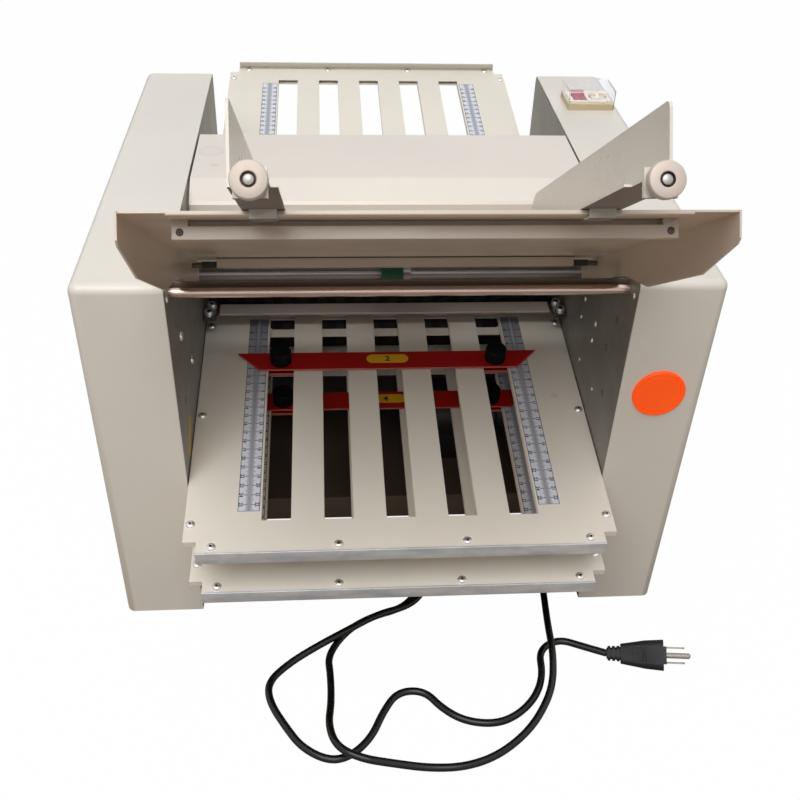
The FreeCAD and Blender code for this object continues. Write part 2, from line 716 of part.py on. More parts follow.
def switch_box():
    z0 = casing_height
    x0, x1 = switch_x
    y0, y1 = switch_y
    deck = z0 + switch_base_height
    base = box(x0, x1, y0, y1, z0, deck)
    base = base.makeFillet(3.0, [e for e in base.Edges if abs(e.tangentAt(e.FirstParameter).z) > 0.9])
    well_x = (x0 + 7.0, x0 + 21.0)
    well_y = (y0 + 9.0, y1 - 9.0)
    well = box(well_x[0], well_x[1], well_y[0], well_y[1], z0 + 1.5, deck + 1)
    barrel_y = y1 + 2.0
    barrel_z = z0 + 3.0
    hinge = Vector(0, barrel_y, barrel_z)
    knuckles = [rod(hinge, 2.0, x0 + 4, x0 + 14), rod(hinge, 2.0, x1 - 14, x1 - 4)]
    webs = [box(x0 + 4, x0 + 14, y1 - 1, barrel_y, z0, barrel_z),
            box(x1 - 14, x1 - 4, y1 - 1, barrel_y, z0, barrel_z)]
    pin = rod(hinge, 0.9, x0 + 4, x1 - 4)
    buttons = [Part.makeCylinder(3.6, 3.0, Vector(x0 + dx, (y0 + y1) / 2, deck)) for dx in (28, 38)]
    save("switch_base", union([base.cut(well)] + knuckles + webs + [pin] + buttons))
    low = z0 + switch_base_height + 0.3
    top = z0 + switch_lid_height
    outer = box(x0, x1, y0, y1, low, top)
    outer = outer.makeFillet(3.0, [e for e in outer.Edges if abs(e.tangentAt(e.FirstParameter).z) > 0.9])
    inner = box(x0 + lid_wall, x1 - lid_wall, y0 + lid_wall, y1 - lid_wall, low - 1, top - lid_wall)
    lid = outer.cut(inner)
    arm = box(x0 + 15, x1 - 15, y1 + 0.3, y1 + 1.3, barrel_z + 1.2, low + 6)
    rim = box(x0 + 15, x1 - 15, y1 - 0.6, y1 + 1.3, low + 1, low + 6)
    sleeve = rod(hinge, 1.7, x0 + 15, x1 - 15)
    bridge = box(x0 + 15, x1 - 15, y1 + 0.3, barrel_y, barrel_z + 1, barrel_z + 2.2)
    lid = union([lid, arm, rim, sleeve, bridge]).cut(rod(hinge, 0.9 + running_gap, x0, x1))
    save("switch_lid", lid)
    centre = Vector((well_x[0] + well_x[1]) / 2, (y0 + y1) / 2, deck - 0.5)
    half_x = (well_x[1] - well_x[0]) / 2 - 0.4
    half_y = (well_y[1] - well_y[0]) / 2 - 0.7
    outline = [(centre.y - half_y, centre.z + 0.4), (centre.y, centre.z + 1.2),
               (centre.y + half_y, centre.z + 4.4), (centre.y + half_y - 0.5, centre.z - 1.5),
               (centre.y, centre.z - 3.4), (centre.y - half_y + 0.5, centre.z - 2.0)]
    rocker = sheet_profile(outline, centre.x - half_x, centre.x + half_x)
    save("rocker_switch", rocker)
    return hinge, centre


def front_cap():
    """Round plastic cap in the right casing: a snap-in ring and a disc that twists out."""
    axis = Vector(0, 1, 0)
    front = Vector(cap_centre.x, -2.5, cap_centre.z)
    ring = Part.makeCylinder(21.3, 2.5, front, axis)
    ring = ring.makeFillet(1.4, [e for e in ring.Edges if e.Closed and e.CenterOfMass.y < -1])
    collar = Part.makeCylinder(cap_hole_radius, 7, Vector(cap_centre.x, 0, cap_centre.z), axis)
    bore = Part.makeCylinder(17.4, 20, Vector(cap_centre.x, -5, cap_centre.z), axis)
    notch_angle = math.radians(52)
    cuts = [bore]
    for s in (0, math.pi):
        angle = notch_angle + s
        notch = box(15, 24, -4, 0.01, -0.7, 0.7)
        notch.rotate(Vector(0, 0, 0), Vector(0, 1, 0), -math.degrees(angle))
        notch.translate(cap_centre)
        cuts.append(notch)
    save("cap_ring", union([ring, collar]).cut(cuts))
    disc = Part.makeCylinder(17.1, 8.5, Vector(cap_centre.x, -2.3, cap_centre.z), axis)
    disc = disc.makeFillet(0.8, [e for e in disc.Edges if e.Closed and e.CenterOfMass.y < -1])
    hollow = Part.makeCylinder(15.6, 10, Vector(cap_centre.x, -0.6, cap_centre.z), axis)
    save("cap_disc", disc.cut(hollow))


# ---- mains cord ---------------------------------------------------------------------------
plug_end_z = 4.1             # the cord meets the plug above the floor
plug_heading = -12.0         # degrees from +X
plug_pitch = 8.5             # its wide front end holds it up
plug_roll = 41.0             # it lies on an edge, its ground pin above the two blades


def cord_points():
    """Route of the mains cord: gland, floor loops, plug; it passes over itself twice."""
    rest = floor_z + cord_radius
    hump = rest + 4 * cord_radius
    pair = rest + 6.0            # lying on the strand below
    route = [
        (145, 78, gland_z), (145, 46.2, 11), (140.4, 16, 7), (138.3, -12.6, 6), (134.8, -42.5, hump),
        (133.9, -71.2, hump), (129.6, -99.3, 2.5), (114, -125.6, rest), (95.8, -145.5, rest),
        (72, -162, rest), (46, -170, rest), (18, -169.7, rest), (-11.5, -167.8, 5), (-35, -167, hump),
        (-54.5, -155.9, hump), (-61, -131.4, 5.8), (-58.2, -105.4, rest + 1), (-58.5, -77.3, rest),
        (-60.8, -55.6, rest), (-42.5, -28, rest), (-19, -13.6, rest), (5.2, -6.4, rest), (19.7, 7.8, rest),
        (24.3, 28.8, rest), (14.7, 52.6, rest), (17.5, 77.3, rest), (29.8, 96.6, rest), (49.4, 109, rest),
        (71, 108.6, rest), (88.3, 97, rest), (95.6, 77.3, rest), (90, 57.2, rest), (74, 43.6, rest),
        (49, 40.7, rest + 1.5), (33, 27, rest + 4), (26, 4.3, pair), (11.3, -8.9, pair), (-16, -17, pair),
        (-43.7, -34.3, pair), (-70.6, -48.8, rest + 3.2), (-94.5, -63.6, rest), (-111.5, -82.2, rest),
        (-109.4, -102.4, rest), (-95.5, -127, rest), (-82, -147, rest), (-60.3, -160, rest),
        (-42.4, -155.8, rest), (-26, -139.5, rest), (-16, -116.8, rest), (-2.7, -96.8, rest),
        (20.2, -96.4, rest), (34, -115.5, rest), (51.8, -128.3, rest), (76.7, -132, rest),
        (96.8, -123.6, rest), (114.5, -106.2, rest), (124, -84, rest), (124.8, -58.5, rest),
        (144.5, -46.5, rest), (165, -57.5, rest + 1.8), (182.8, -68, plug_end_z),
    ]
    return [Vector(*p) for p in route]


def cord_path(points):
    """Straight runs joined by tangent arcs; prints the radii."""
    edges = []
    radii = []
    start = points[0]
    for k in range(1, len(points) - 1):
        before = points[k - 1] - points[k]
        after = points[k + 1] - points[k]
        turn = math.pi - before.getAngle(after)
        shorter = min(before.Length, after.Length)
        setback = 0.45 * shorter
        radius = setback / math.tan(turn / 2)
        radii.append(radius)
        before.normalize()
        after.normalize()
        first = points[k] + before * setback
        last = points[k] + after * setback
        inward = (before + after).normalize()
        middle = points[k] + inward * (radius / math.cos(turn / 2) - radius)
        edges.append(Part.LineSegment(start, first).toShape())
        edges.append(Part.Arc(first, middle, last).toShape())
        start = last
    edges.append(Part.LineSegment(start, points[-1]).toShape())
    wire = Part.Wire(edges)
    print("cord length %.0f mm, radii %s" % (wire.Length, " ".join("%.0f" % r for r in radii)))
    return wire


def tube(wire, radius):
    start = wire.Edges[0].valueAt(wire.Edges[0].FirstParameter)
    heading = wire.Edges[0].tangentAt(wire.Edges[0].FirstParameter)
    circle = Part.Wire(Part.makeCircle(radius, start, heading))
    solid = wire.makePipeShell([circle], True, False)
    print("tube volume %.0f, section times length %.0f, valid %s"
          % (solid.Volume, math.pi * radius ** 2 * wire.Length, solid.isValid()))
    return solid


def cord():
    points = cord_points()
    save("power_cord", tube(cord_path(points), cord_radius))
    out = Vector(0, -1, 0)
    seat = Vector(gland_x, pan_front, gland_z)
    flange = Part.makeCylinder(9.5, 4, seat, out)
    neck = Part.makeCylinder(gland_hole_radius, casing_sheet + 3, seat + Vector(0, casing_sheet + 3, 0), out)
    relief = Part.makeCone(6.8, 4.2, 27, seat + out * 4, out)
    save("cord_gland", union([flange, neck, relief]))
    pose = Placement(points[-1], Rotation(plug_heading, -plug_pitch, plug_roll))
    pins = [placed(pin, pose) for pin in plug_pins()]
    save("plug", placed(plug_body(), pose).cut(pins), *pins)


def rounded_section(x, width, height, radius):
    """Rounded rectangle square to the plug's length, which runs along X."""
    w = width / 2 - radius
    h = height / 2 - radius
    edges = []
    corners = ((w, h, 0), (-w, h, 90), (-w, -h, 180), (w, -h, 270))

    def on_corner(corner, angle):
        y, z, start = corner
        turn = math.radians(start + angle)
        return Vector(x, y + radius * math.cos(turn), z + radius * math.sin(turn))

    for k, corner in enumerate(corners):
        arc = Part.Arc(on_corner(corner, 0), on_corner(corner, 45), on_corner(corner, 90))
        edges.append(arc.toShape())
        after = corners[(k + 1) % 4]
        edges.append(Part.LineSegment(on_corner(corner, 90), on_corner(after, 0)).toShape())
    return Part.Wire(edges)


def plug_body():
    """Moulded plug: ribbed strain relief, body lofted to its wide front, ridge, rails and a bare panel."""
    sections = [rounded_section(12, 17.0, 12.5, 3.5), rounded_section(33, 24.0, 18.6, 5.0),
                rounded_section(48, 26.2, 20.2, 5.0)]
    body = Part.makeLoft(sections, True, True)
    lowered = body.copy()
    lowered.translate(Vector(0, 0, -0.9))
    frame = box(22, 31.5, -5.8, 5.8, 0, 14).cut(box(23, 30.5, -4.8, 4.8, -1, 15))
    grooves = [frame, box(32.6, 33.6, -7.6, 7.6, 0, 14), box(33, 49, -8.6, -7.6, 0, 14),
               box(33, 49, 7.6, 8.6, 0, 14)]
    body = body.cut(union(grooves).cut(lowered))
    nose = box(47, 50.5, -7.4, 7.4, -9.4, 9.2)
    core = Part.makeLoft([rounded_section(0, 9.4, 8.6, 3.2), rounded_section(13, 11.5, 10.4, 3.5)], True, True)
    ribs = []
    for start in (1.0, 4.9, 8.8):
        size = 0.8 * start / 8.8
        ribs.append(Part.makeLoft([rounded_section(start, 12.2 + size, 10.8 + size, 3.6),
                                   rounded_section(start + 2.3, 12.6 + size, 11.2 + size, 3.6)], True, True))
    return union([body, nose, core] + ribs)


def plug_pins():
    """Two flat blades with bevelled tips and a round ground pin."""
    blade = [(46, -8.6), (64.5, -8.6), (66.5, -7.2), (66.5, -3.8), (64.5, -2.4), (46, -2.4)]
    pins = []
    for side in (-6.35, 6.35):
        corners = [Vector(x, side - 0.75, z) for x, z in blade]
        wire = Part.makePolygon(corners + [corners[0]])
        pins.append(Part.Face(wire).extrude(Vector(0, 1.5, 0)))
    ground = Part.makeCylinder(2.4, 24.5, Vector(46, 0, 6.2), Vector(1, 0, 0))
    pins.append(ground.makeFillet(1.9, [e for e in ground.Edges if e.Closed and e.CenterOfMass.x > 60]))
    return pins


casings()
side_frames()
feet()
base_pan()
cross_members()
top_cover()
feed_table()
guide_rail()
side_guides()
feeding()
fold_rollers()
bearings()
motor()
delivery()
for tray_number in trays:
    tray_plates(tray_number)
tray_end_rails()
tray_rulers()
paper_stops()
cap_screws()
switch_box()
front_cap()
cord()
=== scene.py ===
import math

import bmesh
import bpy
from mathutils import Matrix, Vector

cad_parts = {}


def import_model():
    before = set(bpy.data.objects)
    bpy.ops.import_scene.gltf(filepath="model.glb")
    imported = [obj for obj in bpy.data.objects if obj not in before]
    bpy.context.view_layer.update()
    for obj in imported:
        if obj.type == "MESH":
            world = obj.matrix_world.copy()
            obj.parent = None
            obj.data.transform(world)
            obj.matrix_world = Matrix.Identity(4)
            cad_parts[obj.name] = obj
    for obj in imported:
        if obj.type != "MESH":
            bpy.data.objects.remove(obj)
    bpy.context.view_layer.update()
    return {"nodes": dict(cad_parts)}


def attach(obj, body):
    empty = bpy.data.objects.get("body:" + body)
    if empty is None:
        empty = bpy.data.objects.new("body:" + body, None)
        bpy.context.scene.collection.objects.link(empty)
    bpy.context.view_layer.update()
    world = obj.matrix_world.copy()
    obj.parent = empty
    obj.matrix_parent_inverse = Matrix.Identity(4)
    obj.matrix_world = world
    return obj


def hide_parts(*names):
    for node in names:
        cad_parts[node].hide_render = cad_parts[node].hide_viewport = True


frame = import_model()
nodes = frame["nodes"]

MM = 0.001
# The machine is drawn with Y = 0 at the casing fronts and Z = 0 at the casing bottoms. These are
# the millimetres from there to the row frame, whose origin is the middle of the footprint on the
# floor.
SHIFT = Vector((0.0, -208.3535, 4.0))
TO_ROW = Matrix.Scale(MM, 4) @ Matrix.Translation(SHIFT)
DRAWING = Matrix.Identity(4)


def world(x, y, z):
    """A point of the machine's drawing, in metres in the row frame."""
    return (Vector((x, y, z)) + SHIFT) * MM


def turned(degrees, axis):
    """A rotation about an axis of the drawing."""
    return Matrix.Rotation(math.radians(degrees), 4, axis)


# The feed table's own frame: Y runs down its slope to the rear, Z = 0 on its top.
TABLE_EDGE = (0, -146.0, 469.0)
TABLE_SLOPE = 33.7
TABLE = Matrix.Translation(TABLE_EDGE) @ turned(-TABLE_SLOPE, "X")

TRAY_SLOPE = math.radians(7.3)
NIP_TWO = Vector((0, 244.0, 188.0))
ALONG = Vector((0, math.cos(TRAY_SLOPE), math.sin(TRAY_SLOPE)))
ACROSS = Vector((0, -math.sin(TRAY_SLOPE), math.cos(TRAY_SLOPE)))
ROLLER_PITCH = 30.0
NIP_STEP = ROLLER_PITCH * math.sqrt(3.0) / 2.0
TRAY_MOUTH = 19.0            # from the nip to the mouth
TRAY_DROP = 8.0              # from a nip down to the paper gap of its tray
TRAY_TOP = 2.95              # from the middle of the paper gap to the top of the upper plate
TOP_TRAY_RAISE = 1.1
TRAY_LIFT = {1: NIP_STEP + TOP_TRAY_RAISE, 2: -TRAY_DROP, 3: -NIP_STEP - TRAY_DROP,
             4: -2 * NIP_STEP - TRAY_DROP}
REAR_TRAYS = (1, 3)
SHORT_TRAY = 298.0
TRAY_LENGTH = {1: 395.0, 2: SHORT_TRAY, 3: SHORT_TRAY, 4: SHORT_TRAY}


def tray(number):
    """A tray's own frame: Y outwards from its mouth, Z = 0 on its upper plate."""
    side = 1 if number in REAR_TRAYS else -1
    mouth = NIP_TWO + ALONG * (side * TRAY_MOUTH) + ACROSS * (TRAY_LIFT[number] + TRAY_TOP)
    place = Matrix.Translation(mouth) @ Matrix.Rotation(TRAY_SLOPE, 4, "X")
    return place if side > 0 else place @ turned(180, "Z")


def spot(place, point, axis=(0, 0, 1)):
    """A frame at a point of another frame, with its Z along an axis of that frame."""
    aim = Vector((0, 0, 1)).rotation_difference(Vector(axis))
    return place @ Matrix.Translation(point) @ aim.to_matrix().to_4x4()


# ---- camera, light and floor ----------------------------------------------------------------
CAMERA_POINT = world(-57.9, -622.1, 705.7)
CAMERA_PITCH = 0.646388      # downwards, in radians as the other two
CAMERA_YAW = 0.0909557
CAMERA_ROLL = -0.0390673
CAMERA_CLIP = (0.02, 60.0)
FOCAL_PIXELS = 1005.03
IMAGE_PIXELS = 800.0
SENSOR_MM = 36.0


def make_camera():
    """The photograph's camera."""
    forward = Vector((math.sin(CAMERA_YAW) * math.cos(CAMERA_PITCH),
                      math.cos(CAMERA_YAW) * math.cos(CAMERA_PITCH), -math.sin(CAMERA_PITCH)))
    level = Vector((math.cos(CAMERA_YAW), -math.sin(CAMERA_YAW), 0.0))
    down = forward.cross(level)
    right = level * math.cos(CAMERA_ROLL) + down * math.sin(CAMERA_ROLL)
    up = level * math.sin(CAMERA_ROLL) - down * math.cos(CAMERA_ROLL)
    data = bpy.data.cameras.new("camera")
    data.sensor_width = SENSOR_MM
    data.lens = FOCAL_PIXELS / IMAGE_PIXELS * SENSOR_MM
    data.clip_start, data.clip_end = CAMERA_CLIP
    camera = bpy.data.objects.new("camera", data)
    bpy.context.scene.collection.objects.link(camera)
    camera.matrix_world = Matrix.Translation(CAMERA_POINT) @ Matrix((
        (right.x, up.x, -forward.x, 0), (right.y, up.y, -forward.y, 0),
        (right.z, up.z, -forward.z, 0), (0, 0, 0, 1)))
    bpy.context.scene.camera = camera


# Place and aim in metres, width, height, power in watts.
LIGHTS = {
    "key": ((-0.45, -1.5, 2.6), (0, 0, 0.25), 2.0, 2.0, 59),
    "overhead": ((0.3, 0.5, 2.6), (0, 0, 0.3), 2.2, 2.2, 10),
}


def area_light(name, place, aim, width, height, power):
    """A soft lamp that faces a point."""
    data = bpy.data.lights.new(name, "AREA")
    data.shape = "RECTANGLE"
    data.size = width
    data.size_y = height
    data.energy = power
    light = bpy.data.objects.new(name, data)
    bpy.context.scene.collection.objects.link(light)
    light.location = place
    light.rotation_mode = "QUATERNION"
    light.rotation_quaternion = (Vector(aim) - Vector(place)).to_track_quat("-Z", "Y")


def any_ray(tree, outputs):
    """1 for a ray of any of some kinds that Light Path tells apart."""
    path = tree.nodes.new("ShaderNodeLightPath")
    total = path.outputs[outputs[0]]
    for name in outputs[1:]:
        join = tree.nodes.new("ShaderNodeMath")
        join.operation = "MAXIMUM"
        tree.links.new(total, join.inputs[0])
        tree.links.new(path.outputs[name], join.inputs[1])
        total = join.outputs[0]
    return total


WHITE = (1, 1, 1, 1)
SKY_LIGHT = (0.98, 0.99, 1.0, 1)
SKY_STRENGTH = 0.2
FLOOR_WARMTH = (0.49, 0.425, 0.36, 1)     # what the floor throws back on the undersides
FLOOR_WHITE = (0.86, 0.86, 0.86, 1)
FLOOR_GLOW = 0.985                        # what of the floor the camera sees as plain white
FLOOR_HALF = 9.0
# The colour sockets of a Mix node.
MIX_FIRST, MIX_SECOND, MIX_RESULT = 6, 7, 2


def make_world():
    """Faint light from all sides, and plain white where the world itself is seen."""
    sky = bpy.data.worlds.new("studio")
    bpy.context.scene.world = sky
    sky.use_nodes = True
    tree = sky.node_tree
    tree.nodes.clear()
    ambient = tree.nodes.new("ShaderNodeBackground")
    ambient.inputs["Color"].default_value = SKY_LIGHT
    ambient.inputs["Strength"].default_value = SKY_STRENGTH
    white = tree.nodes.new("ShaderNodeBackground")
    white.inputs["Color"].default_value = WHITE
    mix = tree.nodes.new("ShaderNodeMixShader")
    out = tree.nodes.new("ShaderNodeOutputWorld")
    seen = any_ray(tree, ("Is Camera Ray", "Is Glossy Ray", "Is Transmission Ray"))
    tree.links.new(seen, mix.inputs[0])
    tree.links.new(ambient.outputs[0], mix.inputs[1])
    tree.links.new(white.outputs[0], mix.inputs[2])
    tree.links.new(mix.outputs[0], out.inputs[0])


def make_floor():
    """A floor that looks white but keeps the shadow, and reflects a warm tone."""
    mesh = bpy.data.meshes.new("floor")
    corners = [(x * FLOOR_HALF, y * FLOOR_HALF, 0) for x, y in ((-1, -1), (1, -1), (1, 1), (-1, 1))]
    mesh.from_pydata(corners, [], [(0, 1, 2, 3)])
    floor = bpy.data.objects.new("floor", mesh)
    bpy.context.scene.collection.objects.link(floor)
    mat = bpy.data.materials.new("floor")
    mat.use_nodes = True
    tree = mat.node_tree
    tree.nodes.clear()
    seen = any_ray(tree, ("Is Camera Ray", "Is Transmission Ray"))
    colour = tree.nodes.new("ShaderNodeMix")
    colour.data_type = "RGBA"
    colour.inputs[MIX_FIRST].default_value = FLOOR_WARMTH
    colour.inputs[MIX_SECOND].default_value = FLOOR_WHITE
    tree.links.new(seen, colour.inputs[0])
    matt = tree.nodes.new("ShaderNodeBsdfDiffuse")
    tree.links.new(colour.outputs[MIX_RESULT], matt.inputs["Color"])
    glow = tree.nodes.new("ShaderNodeEmission")
    mix = tree.nodes.new("ShaderNodeMixShader")
    share = tree.nodes.new("ShaderNodeMath")
    share.operation = "MULTIPLY"
    share.inputs[1].default_value = FLOOR_GLOW
    out = tree.nodes.new("ShaderNodeOutputMaterial")
    tree.links.new(seen, share.inputs[0])
    tree.links.new(share.outputs[0], mix.inputs[0])
    tree.links.new(matt.outputs[0], mix.inputs[1])
    tree.links.new(glow.outputs[0], mix.inputs[2])
    tree.links.new(mix.outputs[0], out.inputs[0])
    mesh.materials.append(mat)


make_camera()
make_world()
make_floor()
for name, lamp in LIGHTS.items():
    area_light(name, *lamp)
bpy.context.scene.view_settings.view_transform = "Standard"


# ---- materials ------------------------------------------------------------------------------
def tone(red, green, blue):
    """Linear colour from display values of 0 to 255, by the sRGB curve."""
    def linear(v):
        v /= 255.0
        return v / 12.92 if v <= 0.04045 else ((v + 0.055) / 1.055) ** 2.4
    return (linear(red), linear(green), linear(blue), 1.0)


def scaled(colour, factor):
    """A colour made lighter or darker."""
    return tuple(min(1.0, c * factor) for c in colour[:3]) + (1.0,)


class Finish:
    """A Principled material with helpers for the texture nodes that feed it."""

    def __init__(self, name, colour, roughness, metallic=0.0):
        self.material = bpy.data.materials.new(name)
        self.material.use_nodes = True
        self.tree = self.material.node_tree
        self.tree.nodes.clear()
        self.shader = self.node("BsdfPrincipled")
        self.set(Base_Color=colour, Roughness=roughness, Metallic=metallic)
        self.link(self.shader.outputs[0], self.node("OutputMaterial").inputs[0])
        self.texture_space = self.node("TexCoord")
        self.coordinates = self.texture_space.outputs["Object"]

    def node(self, kind):
        return self.tree.nodes.new("ShaderNode" + kind)

    def link(self, source, target):
        self.tree.links.new(source, target)

    def set(self, **values):
        """Values of the shader's sockets, with _ for a space in their names."""
        for name, value in values.items():
            self.shader.inputs[name.replace("_", " ")].default_value = value

    def stretched(self, scale):
        """The coordinates, scaled along each axis."""
        mapping = self.node("Mapping")
        mapping.inputs["Scale"].default_value = scale
        self.link(self.coordinates, mapping.inputs["Vector"])
        return mapping.outputs[0]

    def noise(self, scale, detail=3.0, stretch=None):
        texture = self.node("TexNoise")
        texture.inputs["Scale"].default_value = scale
        texture.inputs["Detail"].default_value = detail
        source = self.stretched(stretch) if stretch else self.coordinates
        self.link(source, texture.inputs["Vector"])
        return texture.outputs[0]

    def cells(self, scale, output="Distance"):
        texture = self.node("TexVoronoi")
        texture.inputs["Scale"].default_value = scale
        self.link(self.coordinates, texture.inputs["Vector"])
        return texture.outputs[output]

    def spread(self, value, from_low, from_high, to_low, to_high):
        """A value carried over from one range to another, and kept within it."""
        node = self.node("MapRange")
        for socket, number in zip(("From Min", "From Max", "To Min", "To Max"),
                                  (from_low, from_high, to_low, to_high)):
            node.inputs[socket].default_value = number
        self.link(value, node.inputs["Value"])
        return node.outputs[0]

    def clouds(self, scale, detail, low, high, share=1.0, stretch=None):
        """Soft patches: 0 where the noise is under low, the full share where it is over high."""
        return self.spread(self.noise(scale, detail, stretch), low, high, 0, share)

    def specks(self, scale, inner, outer, share=0.35):
        """Small round spots of a share, one in each cell."""
        return self.spread(self.cells(scale), inner, outer, share, 0)

    def near(self, point, inner, outer):
        """1 within inner metres of a point, falling to 0 at outer."""
        gap = self.node("VectorMath")
        gap.operation = "DISTANCE"
        self.link(self.coordinates, gap.inputs[0])
        gap.inputs[1].default_value = point
        return self.spread(gap.outputs["Value"], inner, outer, 1, 0)

    def size_along(self, vector, axis):
        """The size of one part of a vector, whatever its sign."""
        parts = self.node("SeparateXYZ")
        self.link(vector, parts.inputs[0])
        size = self.node("Math")
        size.operation = "ABSOLUTE"
        self.link(parts.outputs[axis], size.inputs[0])
        return size.outputs[0]

    def beyond(self, distance, seam=0.0002):
        """1 further than a distance from the machine's middle plane, with a narrow seam."""
        reach = self.size_along(self.coordinates, 0)
        return self.spread(reach, distance - seam, distance + seam, 0, 1)

    def upright(self):
        """1 on faces that stand, 0 on faces that lie level."""
        level = self.size_along(self.texture_space.outputs["Normal"], 2)
        return self.spread(level, 0.3, 0.75, 1, 0)

    def times(self, one, other):
        """A socket times a socket or a number."""
        node = self.node("Math")
        node.operation = "MULTIPLY"
        self.link(one, node.inputs[0])
        if isinstance(other, (int, float)):
            node.inputs[1].default_value = other
        else:
            self.link(other, node.inputs[1])
        return node.outputs[0]

    def blend_colour(self, share, first, second):
        """Mix of two colours or sockets by a share."""
        node = self.node("Mix")
        node.data_type = "RGBA"
        self.link(share, node.inputs[0])
        for socket, value in ((MIX_FIRST, first), (MIX_SECOND, second)):
            if isinstance(value, tuple):
                node.inputs[socket].default_value = value
            else:
                self.link(value, node.inputs[socket])
        return node.outputs[MIX_RESULT]

    def paint(self, socket):
        self.link(socket, self.shader.inputs["Base Color"])

    def rough(self, value, low, high, from_low=0.3, from_high=0.7):
        """Roughness from low to high by a texture's value."""
        roughness = self.spread(value, from_low, from_high, low, high)
        self.link(roughness, self.shader.inputs["Roughness"])

    def bump(self, height, distance, strength):
        node = self.node("Bump")
        node.inputs["Distance"].default_value = distance
        node.inputs["Strength"].default_value = strength
        self.link(height, node.inputs["Height"])
        self.link(node.outputs[0], self.shader.inputs["Normal"])


STAIN_SHARE = 0.26
UPRIGHT_HIGHLIGHT_SHARE = 0.75
PAD_SHARE = 0.92
PAD_BLACK = tone(20, 17, 15)


def powder_coat(name, colour, roughness=0.36, stains=(), edge=None, dark_ends=None):
    """Satin powder coat: fine orange peel, faint cloudy tone, rubbed marks and a painted highlight.

    A stain is a point, a size in metres and whether it is a ring. Edge is the lighter colour
    painted on the upright faces as a highlight, and dark_ends the distance from the middle
    where black pads begin.
    """
    finish = Finish(name, colour, roughness)
    cloudy = finish.clouds(7.0, 4.0, 0.35, 0.65)
    base = finish.blend_colour(cloudy, scaled(colour, 0.965), scaled(colour, 1.02))
    marks = finish.clouds(38.0, 6.0, 0.6, 0.85, 0.13)
    base = finish.blend_colour(marks, base, scaled(colour, 0.8))
    specks = finish.times(finish.specks(55.0, 0.03, 0.07), marks)
    base = finish.blend_colour(specks, base, scaled(colour, 0.4))
    for point, size, hollow in stains:
        patch = finish.times(finish.near(point, size * 0.7, size), STAIN_SHARE)
        if hollow:
            rim = finish.spread(finish.near(point, size * 0.5, size * 0.85), 0, 1, 1, 0.15)
            patch = finish.times(patch, rim)
        base = finish.blend_colour(patch, base, scaled(colour, 0.55))
    # Upright faces, picked by their normal, are painted lighter: a painted highlight.
    if edge:
        base = finish.blend_colour(finish.times(finish.upright(), UPRIGHT_HIGHLIGHT_SHARE), base, edge)
    if dark_ends:
        pads = finish.times(finish.beyond(dark_ends), PAD_SHARE)
        base = finish.blend_colour(pads, base, PAD_BLACK)
    finish.paint(base)
    finish.rough(finish.noise(24.0, 5.0), roughness - 0.02, roughness + 0.03)
    finish.bump(finish.noise(620.0, 2.0), 0.00006, 0.55)
    finish.set(Coat_Weight=0.12, Coat_Roughness=0.18)
    return finish.material


def zinc_plate():
    """Zinc-plated sheet: soft cloudy spangle and fine drawing lines."""
    colour = tone(154, 152, 146)
    finish = Finish("zinc_plate", colour, 0.45, 0.5)
    clouds = finish.clouds(26.0, 5.0, 0.3, 0.7)
    lines = finish.noise(60.0, 6.0, (1, 0.6, 12))
    base = finish.blend_colour(clouds, scaled(colour, 0.86), scaled(colour, 1.08))
    specks = finish.specks(90.0, 0.04, 0.09)
    finish.paint(finish.blend_colour(specks, base, scaled(colour, 1.35)))
    finish.rough(lines, 0.4, 0.56)
    finish.bump(lines, 0.00004, 0.3)
    return finish.material


def galvanised(spangle_scale=150.0):
    """Hot-dip zinc on the end rails: spangle with blue-grey blotches."""
    colour = tone(224, 226, 229)
    finish = Finish("galvanised", colour, 0.42, 0.3)
    spangle = finish.spread(finish.cells(spangle_scale, "Color"), 0, 1, 0, 1)
    blotch = finish.clouds(34.0, 6.0, 0.42, 0.66, 0.6, (1, 1, 3))
    first = finish.blend_colour(spangle, scaled(colour, 0.92), scaled(colour, 1.04))
    finish.paint(finish.blend_colour(blotch, first, tone(178, 188, 200)))
    finish.rough(finish.noise(90.0, 5.0), 0.3, 0.5)
    finish.bump(finish.cells(spangle_scale), 0.00005, 0.35)
    return finish.material


def turned_metal(name, colour, roughness, stretch=(1, 1, 1), lines=400.0, metallic=1.0):
    """Ground, turned or polished metal; its stretch draws the scratches out into lines."""
    finish = Finish(name, colour, roughness, metallic)
    scratches = finish.noise(lines, 4.0, stretch)
    stain = finish.clouds(22.0, 4.0, 0.4, 0.68, 0.3)
    finish.paint(finish.blend_colour(stain, colour, scaled(colour, 0.78)))
    finish.rough(scratches, max(0.03, roughness - 0.07), roughness + 0.08)
    finish.bump(scratches, 0.00002, 0.3)
    return finish.material


def moulded(name, colour, roughness, grain=900.0, depth=0.00004, wear=None, glow=0.0, shine=0.5):
    """Moulded plastic or rubber with a fine grain; glow adds emission of its own colour, painted
    light that brightens it.
    """
    finish = Finish(name, colour, roughness)
    dust = finish.clouds(30.0, 6.0, 0.5, 0.72, 0.35)
    finish.paint(finish.blend_colour(dust, colour, wear or scaled(colour, 1.5)))
    finish.rough(finish.noise(60.0, 4.0), roughness - 0.06, roughness + 0.08)
    finish.bump(finish.noise(grain, 2.0), depth, 0.6)
    finish.set(Specular_IOR_Level=shine)
    # Emission on a part that is no lamp: painted light.
    if glow:
        finish.set(Emission_Color=colour, Emission_Strength=glow)
    return finish.material


def knurled_roller():
    """Fold roller: ground steel with fine knurled bands."""
    colour = tone(52, 51, 52)
    finish = Finish("knurled_roller", colour, 0.5, 1.0)
    bands = finish.node("TexWave")
    bands.bands_direction = "X"
    bands.inputs["Scale"].default_value = 18.0
    finish.link(finish.coordinates, bands.inputs["Vector"])
    share = finish.spread(bands.outputs[0], 0.45, 0.55, 0, 1)
    finish.paint(finish.blend_colour(share, scaled(colour, 0.85), colour))
    finish.rough(share, 0.6, 0.48, 0, 1)
    finish.bump(finish.times(share, finish.cells(700.0)), 0.0002, 0.7)
    return finish.material


